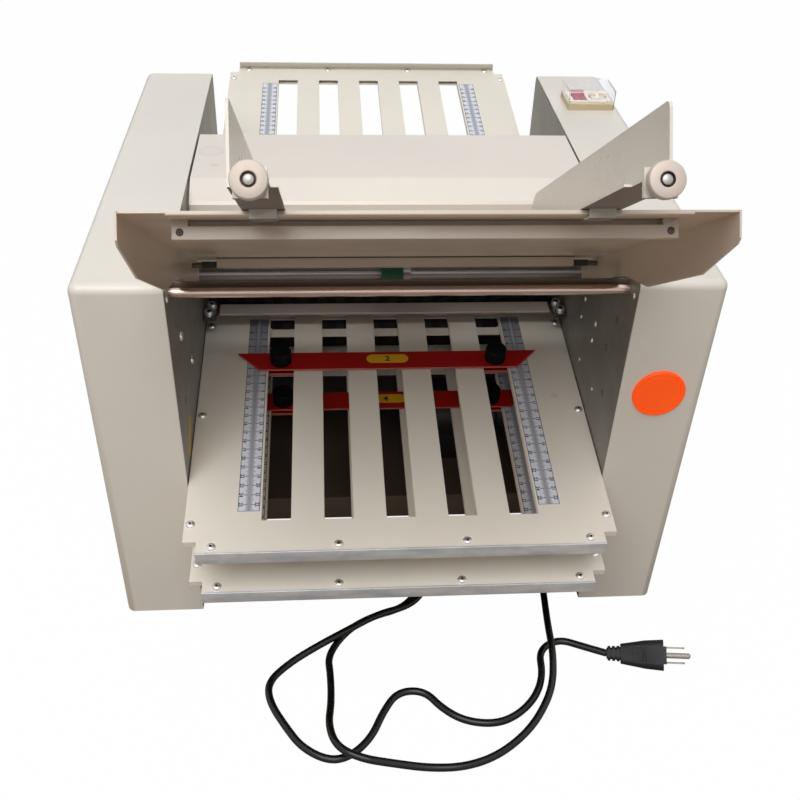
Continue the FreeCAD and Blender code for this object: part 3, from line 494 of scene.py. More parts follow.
def clear_plastic():
    """The switch's lid: thin and clear, with a faint wave in its gloss."""
    finish = Finish("clear_lid", (0.95, 0.945, 0.97, 1), 0.04)
    finish.set(IOR=1.03, Transmission_Weight=1.0, Coat_Weight=0.7, Coat_Roughness=0.06)
    finish.rough(finish.noise(50.0, 4.0), 0.02, 0.07)
    finish.bump(finish.noise(25.0, 2.0), 0.0002, 0.1)
    return finish.material


SCALE_MIDDLE = 121.6         # of each film strip, from the tray's middle
# Painted shade on the film strips under the feed table: its middle in Y and Z, its reach in metres
# and its share.
FILM_SHADE_Y, FILM_SHADE_Z = 208.0, 171.0
FILM_SHADE_REACH = (0.02, 0.11)
FILM_SHADE_SHARE = 0.72


def printed_film():
    """White scale film, a little soiled, with painted shade that darkens it towards the front
    trays' mouths.
    """
    colour = tone(236, 238, 246)
    finish = Finish("scale_film", colour, 0.32)
    wear = finish.clouds(60.0, 5.0, 0.4, 0.7, 0.3)
    base = finish.blend_colour(wear, colour, tone(206, 210, 224))
    # Painted shade: each strip is darkened around a point near the front trays' mouths.
    for side in (-1, 1):
        middle = tuple(world(side * SCALE_MIDDLE, FILM_SHADE_Y, FILM_SHADE_Z))
        film_shade = finish.times(finish.near(middle, *FILM_SHADE_REACH), FILM_SHADE_SHARE)
        base = finish.blend_colour(film_shade, base, tone(84, 84, 98))
    finish.paint(base)
    finish.rough(finish.noise(120.0), 0.26, 0.4)
    finish.bump(finish.noise(300.0), 0.00003, 0.4)
    finish.set(Coat_Weight=0.3)
    return finish.material


COVER_STAINS = ((tuple(world(-157.5, 235.0, 338.0)), 0.013, True),
                (tuple(world(-151.9, 205.1, 338.0)), 0.004, False))
TRAY_STAIN = (tuple(world(148.0, 96.0, 164.0)), 0.004, False)
PAD_START = 0.1575           # metres from the middle to the pads on the crossbar's ends
ALONG_X = (0.05, 1, 1)       # draws a texture out into lines along a shaft

M = {
    "casing": powder_coat("casing_paint", tone(231, 225, 215)),
    "cover": powder_coat("cover_paint", tone(230, 222, 212), 0.3, stains=COVER_STAINS),
    "table": powder_coat("table_paint", tone(214, 198, 182), 0.24),
    "strip": powder_coat("strip_paint", tone(120, 104, 92), 0.34),
    "tray": powder_coat("tray_paint", tone(245, 238, 225), 0.42, stains=(TRAY_STAIN,)),
    "tab": turned_metal("bracket_tab", tone(228, 220, 208), 0.4, lines=900, metallic=0.3),
    "rear_rail": powder_coat("rear_rail_paint", tone(196, 188, 176), 0.36),
    "crossbar": powder_coat("crossbar_paint", tone(204, 190, 176), 0.34, dark_ends=PAD_START),
    # The base pan wears the casings' paint; its much darker tone is painted shade deep inside the
    # machine.
    "pan": powder_coat("pan_paint_with_painted_shade", tone(112, 98, 86), 0.5),
    "zinc": zinc_plate(),
    "rail": galvanised(),
    # Polished chrome, tinted warm and darkened: a painted reflection of its brown surroundings.
    "chrome": turned_metal("chrome_with_painted_reflection", tone(184, 164, 155), 0.22, (0.02, 1, 1), 500),
    "steel": turned_metal("ground_steel", tone(196, 200, 206), 0.3, ALONG_X, 700),
    # The feed shaft is ground steel in a darker copy: painted shade for the dark table underside it
    # reflects.
    "shaft": turned_metal("steel_with_painted_shade", tone(120, 112, 110), 0.46, ALONG_X, 700),
    "screw": turned_metal("screw_steel", tone(224, 222, 218), 0.3, lines=900, metallic=0.9),
    "dull_screw": turned_metal("dull_screw", tone(98, 90, 82), 0.5, lines=900, metallic=0.8),
    "socket": turned_metal("socket_shade", tone(58, 54, 50), 0.5, lines=900, metallic=0.6),
    "knob": turned_metal("turned_knob", tone(206, 191, 180), 0.5, lines=1200, metallic=0.15),
    "knob_pin": turned_metal("knob_pin", tone(176, 172, 168), 0.42, lines=900, metallic=0.5),
    "guide_shade": powder_coat("guide_shade_paint", tone(112, 99, 88), 0.5),
    "knob_shade": turned_metal("knob_recess", tone(66, 46, 40), 0.5, lines=900, metallic=0.5),
    "guide_lug": powder_coat("guide_paint", tone(226, 219, 207), 0.26),
    "roller": knurled_roller(),
    "bronze": turned_metal("sintered_bronze", tone(176, 132, 82), 0.5),
    "green": moulded("green_rubber", tone(8, 74, 44), 0.62),
    "motor": powder_coat("motor_paint", tone(44, 46, 48), 0.42),
    "knob_black": moulded("black_plastic", tone(6, 6, 7), 0.6, shine=0.15),
    "rubber": moulded("black_rubber", tone(28, 28, 29), 0.72),
    "belt": moulded("belt_rubber", tone(26, 25, 25), 0.8, 1400, 0.0001),
    "cord": moulded("cord_pvc", tone(4, 4, 5), 0.28, 700, 0.00002, shine=0.4),
    "plug": moulded("plug_pvc", tone(15, 16, 20), 0.5, 1100, 0.00006, shine=0.3),
    "pin": turned_metal("plug_pins", tone(158, 152, 142), 0.5, lines=900, metallic=0.4),
    # The stop bars' upright faces get a lighter colour: a painted highlight.
    "red": powder_coat("red_paint", tone(184, 8, 2), 0.34, edge=tone(196, 120, 108)),
    # The orange cap's glow is painted light that brightens its colour.
    "orange": moulded("orange_plastic", tone(255, 84, 0), 0.42, wear=tone(255, 104, 12),
                      glow=0.34),
    "film": printed_film(),
    "ink": moulded("scale_ink", tone(24, 26, 40), 0.5),
    "band": moulded("scale_band", tone(170, 172, 182), 0.4),
    "border": moulded("scale_border", tone(112, 120, 136), 0.4),
    "label": moulded("label_yellow", tone(246, 190, 40), 0.42, wear=tone(250, 206, 76)),
    "label_ink": moulded("label_ink", tone(30, 26, 14), 0.5),
    "sticker": moulded("sticker_yellow", tone(212, 178, 64), 0.5, wear=tone(188, 156, 70)),
    "switch": moulded("switch_beige", tone(198, 182, 146), 0.36, wear=tone(172, 156, 120)),
    "switch_pale": moulded("switch_pale", tone(216, 212, 204), 0.4, wear=tone(200, 196, 186)),
    "switch_red": moulded("switch_red", tone(150, 72, 86), 0.3, wear=tone(176, 120, 134)),
    "clear": clear_plastic(),
}

NODE_FINISH = {
    "left_casing": "casing", "right_casing": "casing",
    "left_side_frame": "zinc", "right_side_frame": "zinc",
    "rubber_feet": "rubber", "base_pan": "pan",
    "front_tie_bar": "chrome", "front_cross_sheet": "strip",
    "tray_crossbar": "crossbar", "top_cover": "cover",
    "feed_table": "table", "guide_rail_strip": "table",
    "left_side_guide": "guide_lug", "right_side_guide": "guide_lug",
    "left_guide_knob": "knob", "right_guide_knob": "knob",
    "feed_shaft": "shaft", "feed_wheel": "green",
    "separator_rod": "steel", "separator_block": "knob_black", "feed_guide_plate": "zinc",
    "roller_bearings": "bronze", "drive_motor": "motor", "drive_gear": "steel",
    "drive_belts": "belt", "delivery_shaft": "steel", "delivery_chute": "zinc",
    "tray_end_rails": "rail", "tray_rulers": "film", "cap_screws": "screw",
    "switch_base": "switch", "switch_lid": "clear", "rocker_switch": "switch_red",
    "cap_ring": "orange", "cap_disc": "orange",
    "cord_gland": "knob_black", "power_cord": "cord", "plug": "plug",
}
# Widths in millimetres.
BEVELS = {
    "left_casing": 0.5, "right_casing": 0.5, "top_cover": 0.5, "feed_table": 0.35,
    "tray_crossbar": 0.5, "left_side_guide": 0.4, "right_side_guide": 0.4,
    "tray_end_rails": 0.4, "guide_rail_strip": 0.4, "cap_ring": 0.3, "cap_disc": 0.3,
    "switch_base": 0.3, "rocker_switch": 0.3,
}
for k in range(1, 7):
    NODE_FINISH["fold_roller_%d" % k] = "roller"
for k in TRAY_LENGTH:
    NODE_FINISH["tray_%d_plates" % k] = "tray"
    NODE_FINISH["tray_%d_stop_bar" % k] = "red"
    NODE_FINISH["tray_%d_left_knob" % k] = "knob_black"
    NODE_FINISH["tray_%d_right_knob" % k] = "knob_black"
    BEVELS["tray_%d_plates" % k] = 0.3
    BEVELS["tray_%d_stop_bar" % k] = 0.4

WELD_REACH = 0.00001
BEVEL_ANGLE = math.radians(50)


def soften(piece, width):
    """Rounded sheet edges that catch the light."""
    weld = piece.modifiers.new("weld", "WELD")
    weld.merge_threshold = WELD_REACH
    bevel = piece.modifiers.new("bevel", "BEVEL")
    bevel.width = width * MM
    bevel.segments = 2
    bevel.limit_method = "ANGLE"
    bevel.angle_limit = BEVEL_ANGLE
    bevel.harden_normals = True


def shade_faces(name, finish, wanted):
    """A second finish on the faces of a node that a test of their middle and normal picks."""
    piece = nodes[name]
    piece.data.materials.append(M[finish])
    for face in piece.data.polygons:
        if wanted(piece.matrix_world @ face.center, face.normal):
            face.material_index = 1


PLUG_PLACE = (182.8, -68, 4.1)        # where the cord enters the plug, above the floor
PLUG_START = world(*PLUG_PLACE)
PLUG_BODY = 0.0512                    # metres from there to the root of the pins
UNDERSIDE = -0.5                      # a normal lower than this looks down

for name, finish in NODE_FINISH.items():
    mesh = nodes[name].data
    mesh.materials.clear()
    mesh.materials.append(M[finish])
for name, width in BEVELS.items():
    soften(nodes[name], width)
for side in ("left", "right"):
    shade_faces(side + "_side_guide", "guide_shade", lambda middle, normal: normal.z < UNDERSIDE)
shade_faces("plug", "pin", lambda middle, normal: (middle - PLUG_START).length > PLUG_BODY)


# ---- mesh tools -----------------------------------------------------------------------------
KNURL_GROOVES = 60
KNURL_DEPTH = 0.022
DIGIT_PITCH = 0.66           # of the digits' height
DIGIT_WEIGHT = 0.03          # what the bold digits are swollen by
SHARP_ANGLE = math.radians(35)


def hexagon(angle):
    """Reach of a hexagon of corner radius 1 in a direction."""
    part = math.tau / 6
    return math.cos(part / 2) / math.cos(angle % part - part / 2)


def knurl(angle):
    """Reach of a knurled rim of radius 1 in a direction."""
    return 1.0 - KNURL_DEPTH * (0.5 + 0.5 * math.cos(KNURL_GROOVES * angle))


class Shape:
    """A mesh made of turned forms, slabs and prints, in millimetres of the machine's drawing."""

    def __init__(self):
        self.mesh = bmesh.new()

    def corner(self, place, x, y, z):
        return self.mesh.verts.new(place @ Vector((x, y, z)))

    def face(self, corners, finish=0):
        self.mesh.faces.new(corners).material_index = finish

    def band(self, low, high, finish=0):
        """Faces between two closed rings; a ring of one corner is a tip."""
        count = max(len(low), len(high))
        for k in range(count):
            after = (k + 1) % count
            ring = [low[k], low[after]] if len(low) > 1 else [low[0]]
            ring += [high[after], high[k]] if len(high) > 1 else [high[0]]
            self.face(ring, finish)

    def lathe(self, place, profile, segments, finishes):
        """Turned form about local Z.

        A profile point is a radius, a height and, where it is not round, the form of its ring.
        """
        rings = []
        for radius, height, *form in profile:
            if radius == 0:
                rings.append([self.corner(place, 0, 0, height)])
                continue
            ring = []
            for k in range(segments):
                angle = math.tau * k / segments
                reach = radius * (form[0](angle) if form else 1.0)
                x, y = reach * math.cos(angle), reach * math.sin(angle)
                ring.append(self.corner(place, x, y, height))
            rings.append(ring)
        for low, high, finish in zip(rings, rings[1:], finishes):
            self.band(low, high, finish)

    def slab(self, place, outline, low, high, finish=0):
        """Flat plate between two heights; its outline runs anticlockwise from above."""
        bottom = [self.corner(place, x, y, low) for x, y in outline]
        top = [self.corner(place, x, y, high) for x, y in outline]
        self.band(bottom, top, finish)
        self.face(top, finish)
        self.face(list(reversed(bottom)), finish)

    def box(self, place, low, high, finish=0):
        """Box between two opposite corners."""
        (x0, y0, z0), (x1, y1, z1) = low, high
        self.slab(place, [(x0, y0), (x1, y0), (x1, y1), (x0, y1)], z0, z1, finish)

    def patch(self, place, x0, x1, y0, y1, z, finish=0):
        """Printed rectangle."""
        outline = ((x0, y0), (x1, y0), (x1, y1), (x0, y1))
        self.face([self.corner(place, x, y, z) for x, y in outline], finish)

    def letters(self, place, characters, height, finish=0):
        """Printed digits centred on the place, reading along its X."""
        pitch = height * DIGIT_PITCH
        for k, character in enumerate(characters):
            corners, faces = DIGITS[character]
            middle = (k - (len(characters) - 1) / 2) * pitch
            made = [self.corner(place, x * height + middle, y * height, 0) for x, y in corners]
            for face in faces:
                self.face([made[n] for n in face], finish)

    def piece(self, name, finishes, body, replaces=(), slot=None):
        """The finished object: it rides on a body, and may stand for CAD nodes."""
        self.mesh.transform(TO_ROW)
        data = bpy.data.meshes.new(name)
        self.mesh.to_mesh(data)
        self.mesh.free()
        data.shade_smooth()
        data.set_sharp_from_angle(angle=SHARP_ANGLE)
        for finish in finishes:
            data.materials.append(M[finish])
        made = bpy.data.objects.new(name, data)
        bpy.context.scene.collection.objects.link(made)
        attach(made, body)
        if replaces:
            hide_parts(*replaces)
        return made


def digit_outlines():
    """Corners and faces of the ten digits, one unit tall and centred."""
    outlines = {}
    for digit in "0123456789":
        text = bpy.data.curves.new("digit", "FONT")
        text.body = digit
        text.resolution_u = 2
        text.offset = DIGIT_WEIGHT
        holder = bpy.data.objects.new("digit", text)
        mesh = bpy.data.meshes.new_from_object(holder)
        xs = [v.co.x for v in mesh.vertices]
        ys = [v.co.y for v in mesh.vertices]
        tall = max(ys) - min(ys)
        middle_x = (max(xs) + min(xs)) / 2
        middle_y = (max(ys) + min(ys)) / 2
        corners = [((x - middle_x) / tall, (y - middle_y) / tall) for x, y in zip(xs, ys)]
        outlines[digit] = (corners, [list(p.vertices) for p in mesh.polygons])
        bpy.data.objects.remove(holder)
        bpy.data.meshes.remove(mesh)
        bpy.data.curves.remove(text)
    return outlines


DIGITS = digit_outlines()


def pill(length, height, steps=10):
    """Outline of a bar with round ends."""
    radius = height / 2
    reach = length / 2 - radius
    corners = []
    for side, start in ((1, -90), (-1, 90)):
        for k in range(steps + 1):
            angle = math.radians(start + 180 * k / steps)
            corners.append((side * reach + radius * math.cos(angle), radius * math.sin(angle)))
    return corners


# ---- fasteners ------------------------------------------------------------------------------
METAL, SOCKET, DULL = 0, 1, 2
BUTTON_RADIUS = 3.8
BUTTON_HEIGHT = 2.2
BUTTON_SEGMENTS = 18
# Shares of the head's radius and height.
BUTTON_PROFILE = (
    (0, 0), (1, 0), (1, 0.18), (0.93, 0.46), (0.76, 0.8), (0.58, 0.97), (0.4, 1),
    (0.3, 0.96, hexagon), (0.28, 0.35, hexagon), (0, 0.28),
)
CAP_RADIUS = 4.4
CAP_HEIGHT = 5.0
CAP_SEGMENTS = 36
# A share of the head's radius, and millimetres below its top.
CAP_PROFILE = (
    (0, CAP_HEIGHT), (1, CAP_HEIGHT, knurl), (1, 0.7, knurl), (0.93, 0.15), (0.86, 0), (0.6, 0),
    (0.52, 0.2, hexagon), (0.5, 2.6, hexagon), (0, 3.1),
)


def button_screw(shape, place, size=1.0, metal=METAL):
    """Button head with a hexagon socket."""
    radius = BUTTON_RADIUS * size
    height = BUTTON_HEIGHT * size
    profile = [(reach * radius, rise * height, *form) for reach, rise, *form in BUTTON_PROFILE]
    shape.lathe(place, profile, BUTTON_SEGMENTS, (metal,) * 7 + (SOCKET,) * 2)


def cap_screw(shape, place):
    """Cylinder head with a knurled rim and a hexagon socket."""
    profile = [(reach * CAP_RADIUS, CAP_HEIGHT - drop, *form)
               for reach, drop, *form in CAP_PROFILE]
    shape.lathe(place, profile, CAP_SEGMENTS, (METAL,) * 6 + (SOCKET,) * 2)


TRAY_SCREW_X = 166.5
TRAY_SCREW_STATIONS = (28.7, 149.1)
LAST_SCREW_STATION = 269.9            # on a short tray; on the long one as far from the end
ROW_SCREW_X = (-149.0, -50.5, 50.5, 149.0)
ROW_SCREW_MARGIN = 5.5
RAIL_SCREW = (136.0, 28, -8)
RAIL_SCREW_SIZE = 0.56
PAD_TOP = 197.0
PAD_BOLTS = ((166.5, 185.7), (164.5, 198.5))
POST_PLACES = ((60, 30), (380, 30), (60, 300), (380, 300))
HALF_WIDTH = 240.0


def make_cap_screws():
    """The screws of the trays, the guide rail, the crossbar and the casings."""
    shape = Shape()
    for number, length in TRAY_LENGTH.items():
        place = tray(number)
        last = LAST_SCREW_STATION + (length - SHORT_TRAY)
        for station in (*TRAY_SCREW_STATIONS, last):
            for side in (-1, 1):
                button_screw(shape, spot(place, (side * TRAY_SCREW_X, station, 0)))
        for x in ROW_SCREW_X:
            button_screw(shape, spot(place, (x, length - ROW_SCREW_MARGIN, 0)))
    x, y, z = RAIL_SCREW
    for side in (-1, 1):
        button_screw(shape, spot(TABLE, (side * x, y, z), (0, -1, 0)), RAIL_SCREW_SIZE, DULL)
        for bolt_x, bolt_y in PAD_BOLTS:
            cap_screw(shape, spot(DRAWING, (side * bolt_x, bolt_y, PAD_TOP)))
        for post_y, post_z in POST_PLACES:
            button_screw(shape, spot(DRAWING, (side * HALF_WIDTH, post_y, post_z), (side, 0, 0)))
    shape.piece("screw_heads", ("screw", "socket", "dull_screw"), "machine", ("cap_screws",),
                "steel")


FRAME_INSIDE = 172.4
# Y, Z and size of each screw, by the side of its frame.
FRAME_SCREWS = {
    -1: ((51.5, 262.0, 1.0), (92.1, 211.0, 1.0), (10.1, 320.7, 0.6)),
    1: ((130.2, 244.9, 0.6), (133.9, 224.4, 0.6), (89.4, 244.9, 0.7), (91.8, 226.8, 0.7),
        (117.6, 188.9, 0.5), (68.5, 191.2, 0.45), (10.1, 320.7, 0.6)),
}


def make_frame_screws():
    """Small button heads on the inner faces of the side frames."""
    shape = Shape()
    for side, places in FRAME_SCREWS.items():
        for y, z, size in places:
            place = spot(DRAWING, (side * FRAME_INSIDE, y, z), (-side, 0, 0))
            button_screw(shape, place, size)
    shape.piece("frame_screws", ("screw", "socket"), "machine", slot="steel")


STICKER_LOW = Vector((27.8, 159.3))
STICKER_HIGH = Vector((50.9, 183.5))
STICKER_HALF_WIDTH = 5.2
STICKER_SHIFT = 0.35                  # down the frame, in half widths
STICKER_THICKNESS = 0.15
# Turns a flat outline onto the left frame: its X to the rear and its Y up.
ONTO_FRAME = Matrix(((0, 0, 1, 0), (1, 0, 0, 0), (0, 1, 0, 0), (0, 0, 0, 1)))


def make_sticker():
    """Bare yellow strip on the left side frame."""
    shape = Shape()
    line = (STICKER_HIGH - STICKER_LOW).normalized()
    across = Vector((line.y, -line.x)) * STICKER_HALF_WIDTH
    low, high = STICKER_LOW - across * STICKER_SHIFT, STICKER_HIGH - across * STICKER_SHIFT
    outline = [tuple(p) for p in (high - across, high + across, low + across, low - across)]
    place = spot(DRAWING, (-FRAME_INSIDE, 0, 0)) @ ONTO_FRAME
    shape.slab(place, outline, 0.0, STICKER_THICKNESS)
    shape.piece("frame_sticker", ("sticker",), "machine", slot="zinc")


# ---- thin sheet trim ------------------------------------------------------------------------
# Boxes are given by two opposite corners.
# A thin dark slab in the gap along the table's flange stands for its shadow: painted shadow.
SHADOW_GAP_STRIP = ((-143.0, 277.3, -2.0), (143.0, 278.0, -1.2))
END_TAB = ((142.8, 277.0, -4.2), (158.0, 279.2, -3.2))
END_BLOCK = ((142.8, 277.6, -9.2), (154.5, 283.0, -4.2))
END_BOLT = (154.5, 280.0, -7.0)
END_BOLT_PROFILE = ((0, 0), (2.0, 0), (2.0, 7.4), (1.5, 8.0), (0, 8.0))


def make_table_brackets():
    """Dark strip of painted shadow in the gap along the table's stiffening flange, and a tab, block
    and bolt at its ends.
    """
    shape = Shape()
    shape.box(TABLE, *SHADOW_GAP_STRIP, SOCKET)
    for side in (-1, 1):
        for (low, high), finish in ((END_TAB, METAL), (END_BLOCK, SOCKET)):
            x0, x1 = sorted((side * low[0], side * high[0]))
            shape.box(TABLE, (x0, *low[1:]), (x1, *high[1:]), finish)
        x, y, z = END_BOLT
        bolt = spot(TABLE, (side * x, y, z), (side, 0, 0))
        shape.lathe(bolt, END_BOLT_PROFILE, 16, (DULL,) * 4)
    shape.piece("table_brackets", ("tab", "socket", "dull_screw"), "machine", slot="zinc")


REAR_RAIL_HALF = 160.0
REAR_RAIL_END = TRAY_LENGTH[1] - 0.7
REAR_RAIL_FOLDS = ((1.2, 0.0, 4.2), (3.0, 4.2, 8.2))     # depth, bottom and top of each


def make_rear_rail():
    """Folded end rail that stands above the far end of the upper rear tray."""
    shape = Shape()
    for depth, low, high in REAR_RAIL_FOLDS:
        shape.box(tray(1), (-REAR_RAIL_HALF, REAR_RAIL_END - depth, low),
                  (REAR_RAIL_HALF, REAR_RAIL_END, high))
    shape.piece("tray_1_end_rail", ("rear_rail",), "machine", slot="zinc")


PLATE_BOTTOM = -5.9          # underside of a tray's lower plate
STRAP_TOP = -7.2             # the tongues of the paper stop pass above it
STRAP_THICKNESS = 1.0
STRAP_NEAR, STRAP_FAR = 26.0, 36.4
STRAP_HALF = 118.0
STRAP_SEATS = (-114, -75, -25, 25, 75, 114)
SEAT_HALF = 4.0


def make_cross_straps():
    """A strap below each tray near its mouth, on seats between the slots."""
    shape = Shape()
    for number in TRAY_LENGTH:
        place = tray(number)
        shape.box(place, (-STRAP_HALF, STRAP_NEAR, STRAP_TOP - STRAP_THICKNESS),
                  (STRAP_HALF, STRAP_FAR, STRAP_TOP))
        for x in STRAP_SEATS:
            shape.box(place, (x - SEAT_HALF, STRAP_NEAR, STRAP_TOP),
                      (x + SEAT_HALF, STRAP_FAR, PLATE_BOTTOM))
    shape.piece("tray_cross_straps", ("tray",), "machine", slot="tray_paint")


# ---- clamp knobs of the side guides ---------------------------------------------------------
SCREW_LEVEL = -0.4
GUIDE_KNOBS = {"left": -88.9, "right": 88.5}
KNOB_SEGMENTS = 96
KNOB_PROFILE = (
    (0, 74.0), (1.3, 74.1), (2.1, 74.8), (2.5, 75.8), (2.5, 95.5), (5.2, 95.5), (5.2, 98.9),
    (7.8, 98.9), (8.3, 99.4, knurl), (8.3, 103.9, knurl), (7.95, 104.35), (7.7, 104.5),
    (3.75, 104.5), (3.4, 104.25), (3.4, 102.6), (2.5, 102.6), (2.5, 103.2), (2.2, 103.9),
    (1.3, 104.3), (0, 104.45),
)
# The screw, the knob, the recess in its face and the screw's end in the recess.
KNOB_FINISHES = (2,) * 4 + (0,) * 9 + (1,) * 3 + (2,) * 3


def make_guide_knobs():
    """Knurled clamp knobs on their screws, in front of the feed table."""
    for side, x in GUIDE_KNOBS.items():
        shape = Shape()
        place = spot(TABLE, (x, 0, SCREW_LEVEL), (0, -1, 0))
        shape.lathe(place, KNOB_PROFILE, KNOB_SEGMENTS, KNOB_FINISHES)
        node = side + "_guide_knob"
        shape.piece("turned_" + node, ("knob", "knob_shade", "knob_pin"), node, (node,),
                    "knob_steel")


# ---- tray scales and stop labels ------------------------------------------------------------
SCALE_HALF_WIDTH = 8.8
SCALE_START = 20.0
SCALE_END_MARGIN = 40.0
FILM_TOP = 0.3
PRINT_RISE = 0.03
INK_RISE = 0.01              # of the ticks and numbers over the band
CENTIMETRE = 10.1
LAST_MARK = 250.9            # where the higher column reads 25 and the lower one 22
COLUMNS = ((1, 25), (-1, 22))
BAND_HALF = 1.3
BORDER_WIDTH = 0.6
# How far a tick reaches from the band, and its thickness.
WHOLE_TICK, HALF_TICK, SMALL_TICK = (3.6, 0.6), (2.4, 0.3), (1.4, 0.3)
TICK_MARGIN = 1
NUMBER_MARGIN = 4
NUMBER_MIDDLE = 6.6
NUMBER_HEIGHT = 3.3
INK, BAND, BORDER = 0, 1, 2


def print_column(shape, place, middle, end, side, last):
    """Ticks and numbers on one side of a strip's band; the last mark reads a number."""
    first = LAST_MARK - CENTIMETRE * last
    level = FILM_TOP + PRINT_RISE + INK_RISE
    for tick in range(int((end - first) / (CENTIMETRE / 10)) + 1):
        y = first + tick * CENTIMETRE / 10
        if y < SCALE_START + TICK_MARGIN or y > end - TICK_MARGIN:
            continue
        whole = tick % 10 == 0
        reach, thick = WHOLE_TICK if whole else HALF_TICK if tick % 5 == 0 else SMALL_TICK
        x0, x1 = sorted((side * BAND_HALF, side * (BAND_HALF + reach)))
        shape.patch(place, middle + x0, middle + x1, y - thick / 2, y + thick / 2, level, INK)
        if whole and SCALE_START + NUMBER_MARGIN < y < end - NUMBER_MARGIN:
            number = Matrix.Translation((middle + side * NUMBER_MIDDLE, y, level))
            shape.letters(place @ number @ turned(90, "Z"), str(tick // 10), NUMBER_HEIGHT, INK)


def print_scale(number):
    """Two columns of numbers beside a grey band, on both film strips of a tray."""
    shape = Shape()
    place = tray(number)
    end = TRAY_LENGTH[number] - SCALE_END_MARGIN
    level = FILM_TOP + PRINT_RISE
    edge = SCALE_HALF_WIDTH - BORDER_WIDTH
    for strip in (-1, 1):
        middle = strip * SCALE_MIDDLE
        shape.patch(place, middle - BAND_HALF, middle + BAND_HALF, SCALE_START, end, level, BAND)
        for x in (middle - SCALE_HALF_WIDTH, middle + edge):
            shape.patch(place, x, x + BORDER_WIDTH, SCALE_START, end, level, BORDER)
        for y in (SCALE_START, end - BORDER_WIDTH):
            shape.patch(place, middle - edge, middle + edge, y, y + BORDER_WIDTH, level, BORDER)
        for side, last in COLUMNS:
            print_column(shape, place, middle, end, side, last)
    shape.piece("tray_%d_scale" % number, ("ink", "band", "border"), "machine", slot="ruler")


LABEL_LENGTH = 39.0
LABEL_HEIGHT = 11.3
LABEL_THICKNESS = 0.25
LABEL_PRINT = 0.28           # level of the digit
LABEL_DIGIT = 6.6
LABEL_PLACE = (1.2, 81.0)
STOP_TOP = 2.7


def make_stop_label(number):
    """Yellow oval on a paper stop, with the tray's number."""
    shape = Shape()
    base = tray(number) @ Matrix.Translation((*LABEL_PLACE, STOP_TOP)) @ turned(180, "Z")
    shape.slab(base, pill(LABEL_LENGTH, LABEL_HEIGHT), 0, LABEL_THICKNESS)
    shape.letters(base @ Matrix.Translation((0, 0, LABEL_PRINT)), str(number), LABEL_DIGIT, 1)
    shape.piece("tray_%d_stop_label" % number, ("label", "label_ink"),
                "tray_%d_stop_bar" % number, slot="stop_red")


# ---- mains switch ---------------------------------------------------------------------------
SWITCH_DECK = 344.0
BEZEL_X = (188.5, 230.5)
BEZEL_BAR = 3.0              # width of the bars in front of and behind the rocker
BEZEL_POST = 2.5             # width of the bars beside it
BEZEL_RISE = 1.0
ROCKER_X = (193.0, 207.0)
ROCKER_Y = (346.0, 368.0)
INLAY_RISE = 0.3
LID_BLOCK = (212.0, 225.0, 350.0, 364.0)
LID_BLOCK_RISE = 2.2


def make_switch_deck():
    """Pale frame around the rocker and the inlay beside it, and a raised block on the inlay."""
    shape = Shape()
    left, right = BEZEL_X
    rocker_left, rocker_right = ROCKER_X
    near, far = ROCKER_Y
    plates = (
        ((left, right, far, far + BEZEL_BAR), BEZEL_RISE),
        ((left, right, near - BEZEL_BAR, near), BEZEL_RISE),
        ((left, rocker_left, near, far), BEZEL_RISE),
        ((rocker_right, rocker_right + BEZEL_POST, near, far), BEZEL_RISE),
        ((right - BEZEL_POST, right, near, far), BEZEL_RISE),
        ((rocker_right + BEZEL_POST, right - BEZEL_POST, near, far), INLAY_RISE),
        (LID_BLOCK, LID_BLOCK_RISE),
    )
    for (x0, x1, y0, y1), rise in plates:
        shape.box(DRAWING, (x0, y0, SWITCH_DECK), (x1, y1, SWITCH_DECK + rise))
    shape.piece("switch_frame_plate", ("switch_pale",), "machine", slot="switch_beige")


make_cap_screws()
make_frame_screws()
make_sticker()
make_table_brackets()
make_rear_rail()
make_cross_straps()
make_guide_knobs()
for k in TRAY_LENGTH:
    print_scale(k)
    make_stop_label(k)
make_switch_deck()

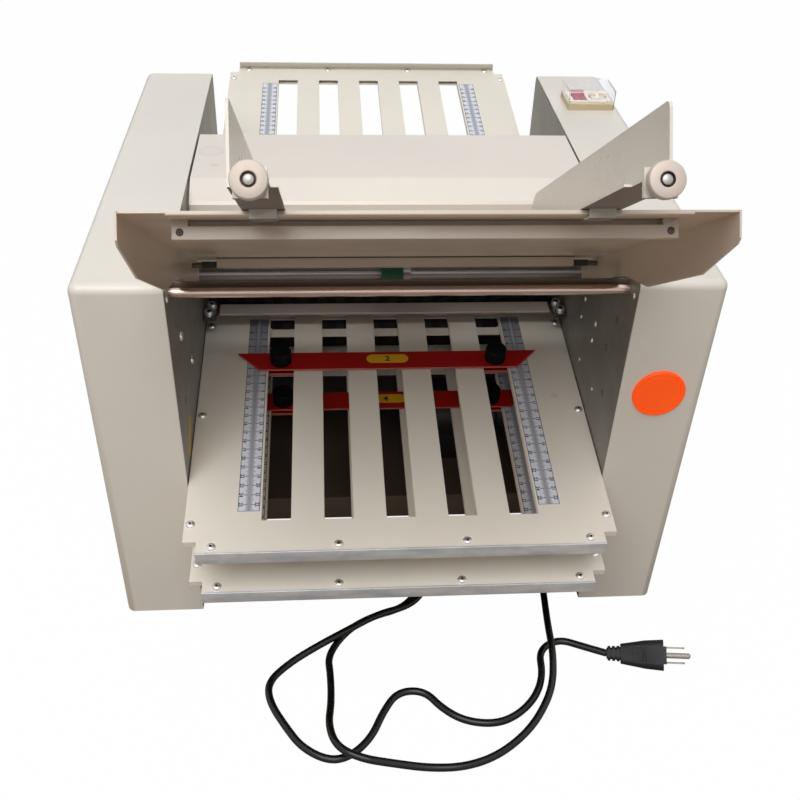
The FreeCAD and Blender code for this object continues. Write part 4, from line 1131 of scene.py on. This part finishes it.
# ---- mains cord -----------------------------------------------------------------------------
CORD_DIAMETER = 6.3
CORD_SMOOTHNESS = 5
FLOOR = -4.0
REST = FLOOR + CORD_DIAMETER / 2
HUMP = REST + 2 * CORD_DIAMETER       # where the cord passes over itself
PAIR = REST + 6.0                     # lying on the strand below
GLAND = (145, 78, 16)
CORD_ROUTE = [
    GLAND, (145, 46.2, 11), (140.4, 16, 7), (138.3, -12.6, 6), (134.8, -42.5, HUMP),
    (133.9, -71.2, HUMP), (129.6, -99.3, 2.5), (114, -125.6, REST), (95.8, -145.5, REST),
    (72, -162, REST), (46, -170, REST), (18, -169.7, REST), (-11.5, -167.8, 5),
    (-35, -167, HUMP), (-54.5, -155.9, HUMP), (-61, -131.4, 5.8), (-58.2, -105.4, REST + 1),
    (-58.5, -77.3, REST), (-60.8, -55.6, REST), (-42.5, -28, REST), (-19, -13.6, REST),
    (5.2, -6.4, REST), (19.7, 7.8, REST), (24.3, 28.8, REST), (14.7, 52.6, REST),
    (17.5, 77.3, REST), (29.8, 96.6, REST), (49.4, 109, REST), (71, 108.6, REST),
    (88.3, 97, REST), (95.6, 77.3, REST), (90, 57.2, REST), (74, 43.6, REST),
    (49, 40.7, REST + 1.5), (33, 27, REST + 4), (26, 4.3, PAIR), (11.3, -8.9, PAIR),
    (-16, -17, PAIR), (-43.7, -34.3, PAIR), (-70.6, -48.8, REST + 3.2), (-94.5, -63.6, REST),
    (-111.5, -82.2, REST), (-109.4, -102.4, REST), (-95.5, -127, REST), (-82, -147, REST),
    (-60.3, -160, REST), (-42.4, -155.8, REST), (-26, -139.5, REST), (-16, -116.8, REST),
    (-2.7, -96.8, REST), (20.2, -96.4, REST), (34, -115.5, REST), (51.8, -128.3, REST),
    (76.7, -132, REST), (96.8, -123.6, REST), (114.5, -106.2, REST), (124, -84, REST),
    (124.8, -58.5, REST), (144.5, -46.5, REST), (165, -57.5, REST + 1.8), PLUG_PLACE,
]


def make_cord():
    """The mains cord, a smooth tube from the gland to the plug."""
    curve = bpy.data.curves.new("mains_cord", "CURVE")
    curve.dimensions = "3D"
    curve.resolution_u = 8
    curve.bevel_depth = CORD_DIAMETER / 2 * MM
    curve.bevel_resolution = CORD_SMOOTHNESS
    curve.use_fill_caps = True
    spline = curve.splines.new("NURBS")
    spline.points.add(len(CORD_ROUTE) - 1)
    for point, place in zip(spline.points, CORD_ROUTE):
        point.co = (*world(*place), 1.0)
    spline.order_u = 3
    spline.use_endpoint_u = True
    curve.materials.append(M["cord"])
    cord = bpy.data.objects.new("mains_cord", curve)
    bpy.context.scene.collection.objects.link(cord)
    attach(cord, "machine")
    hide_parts("power_cord")
    return cord


mains_cord = make_cord()
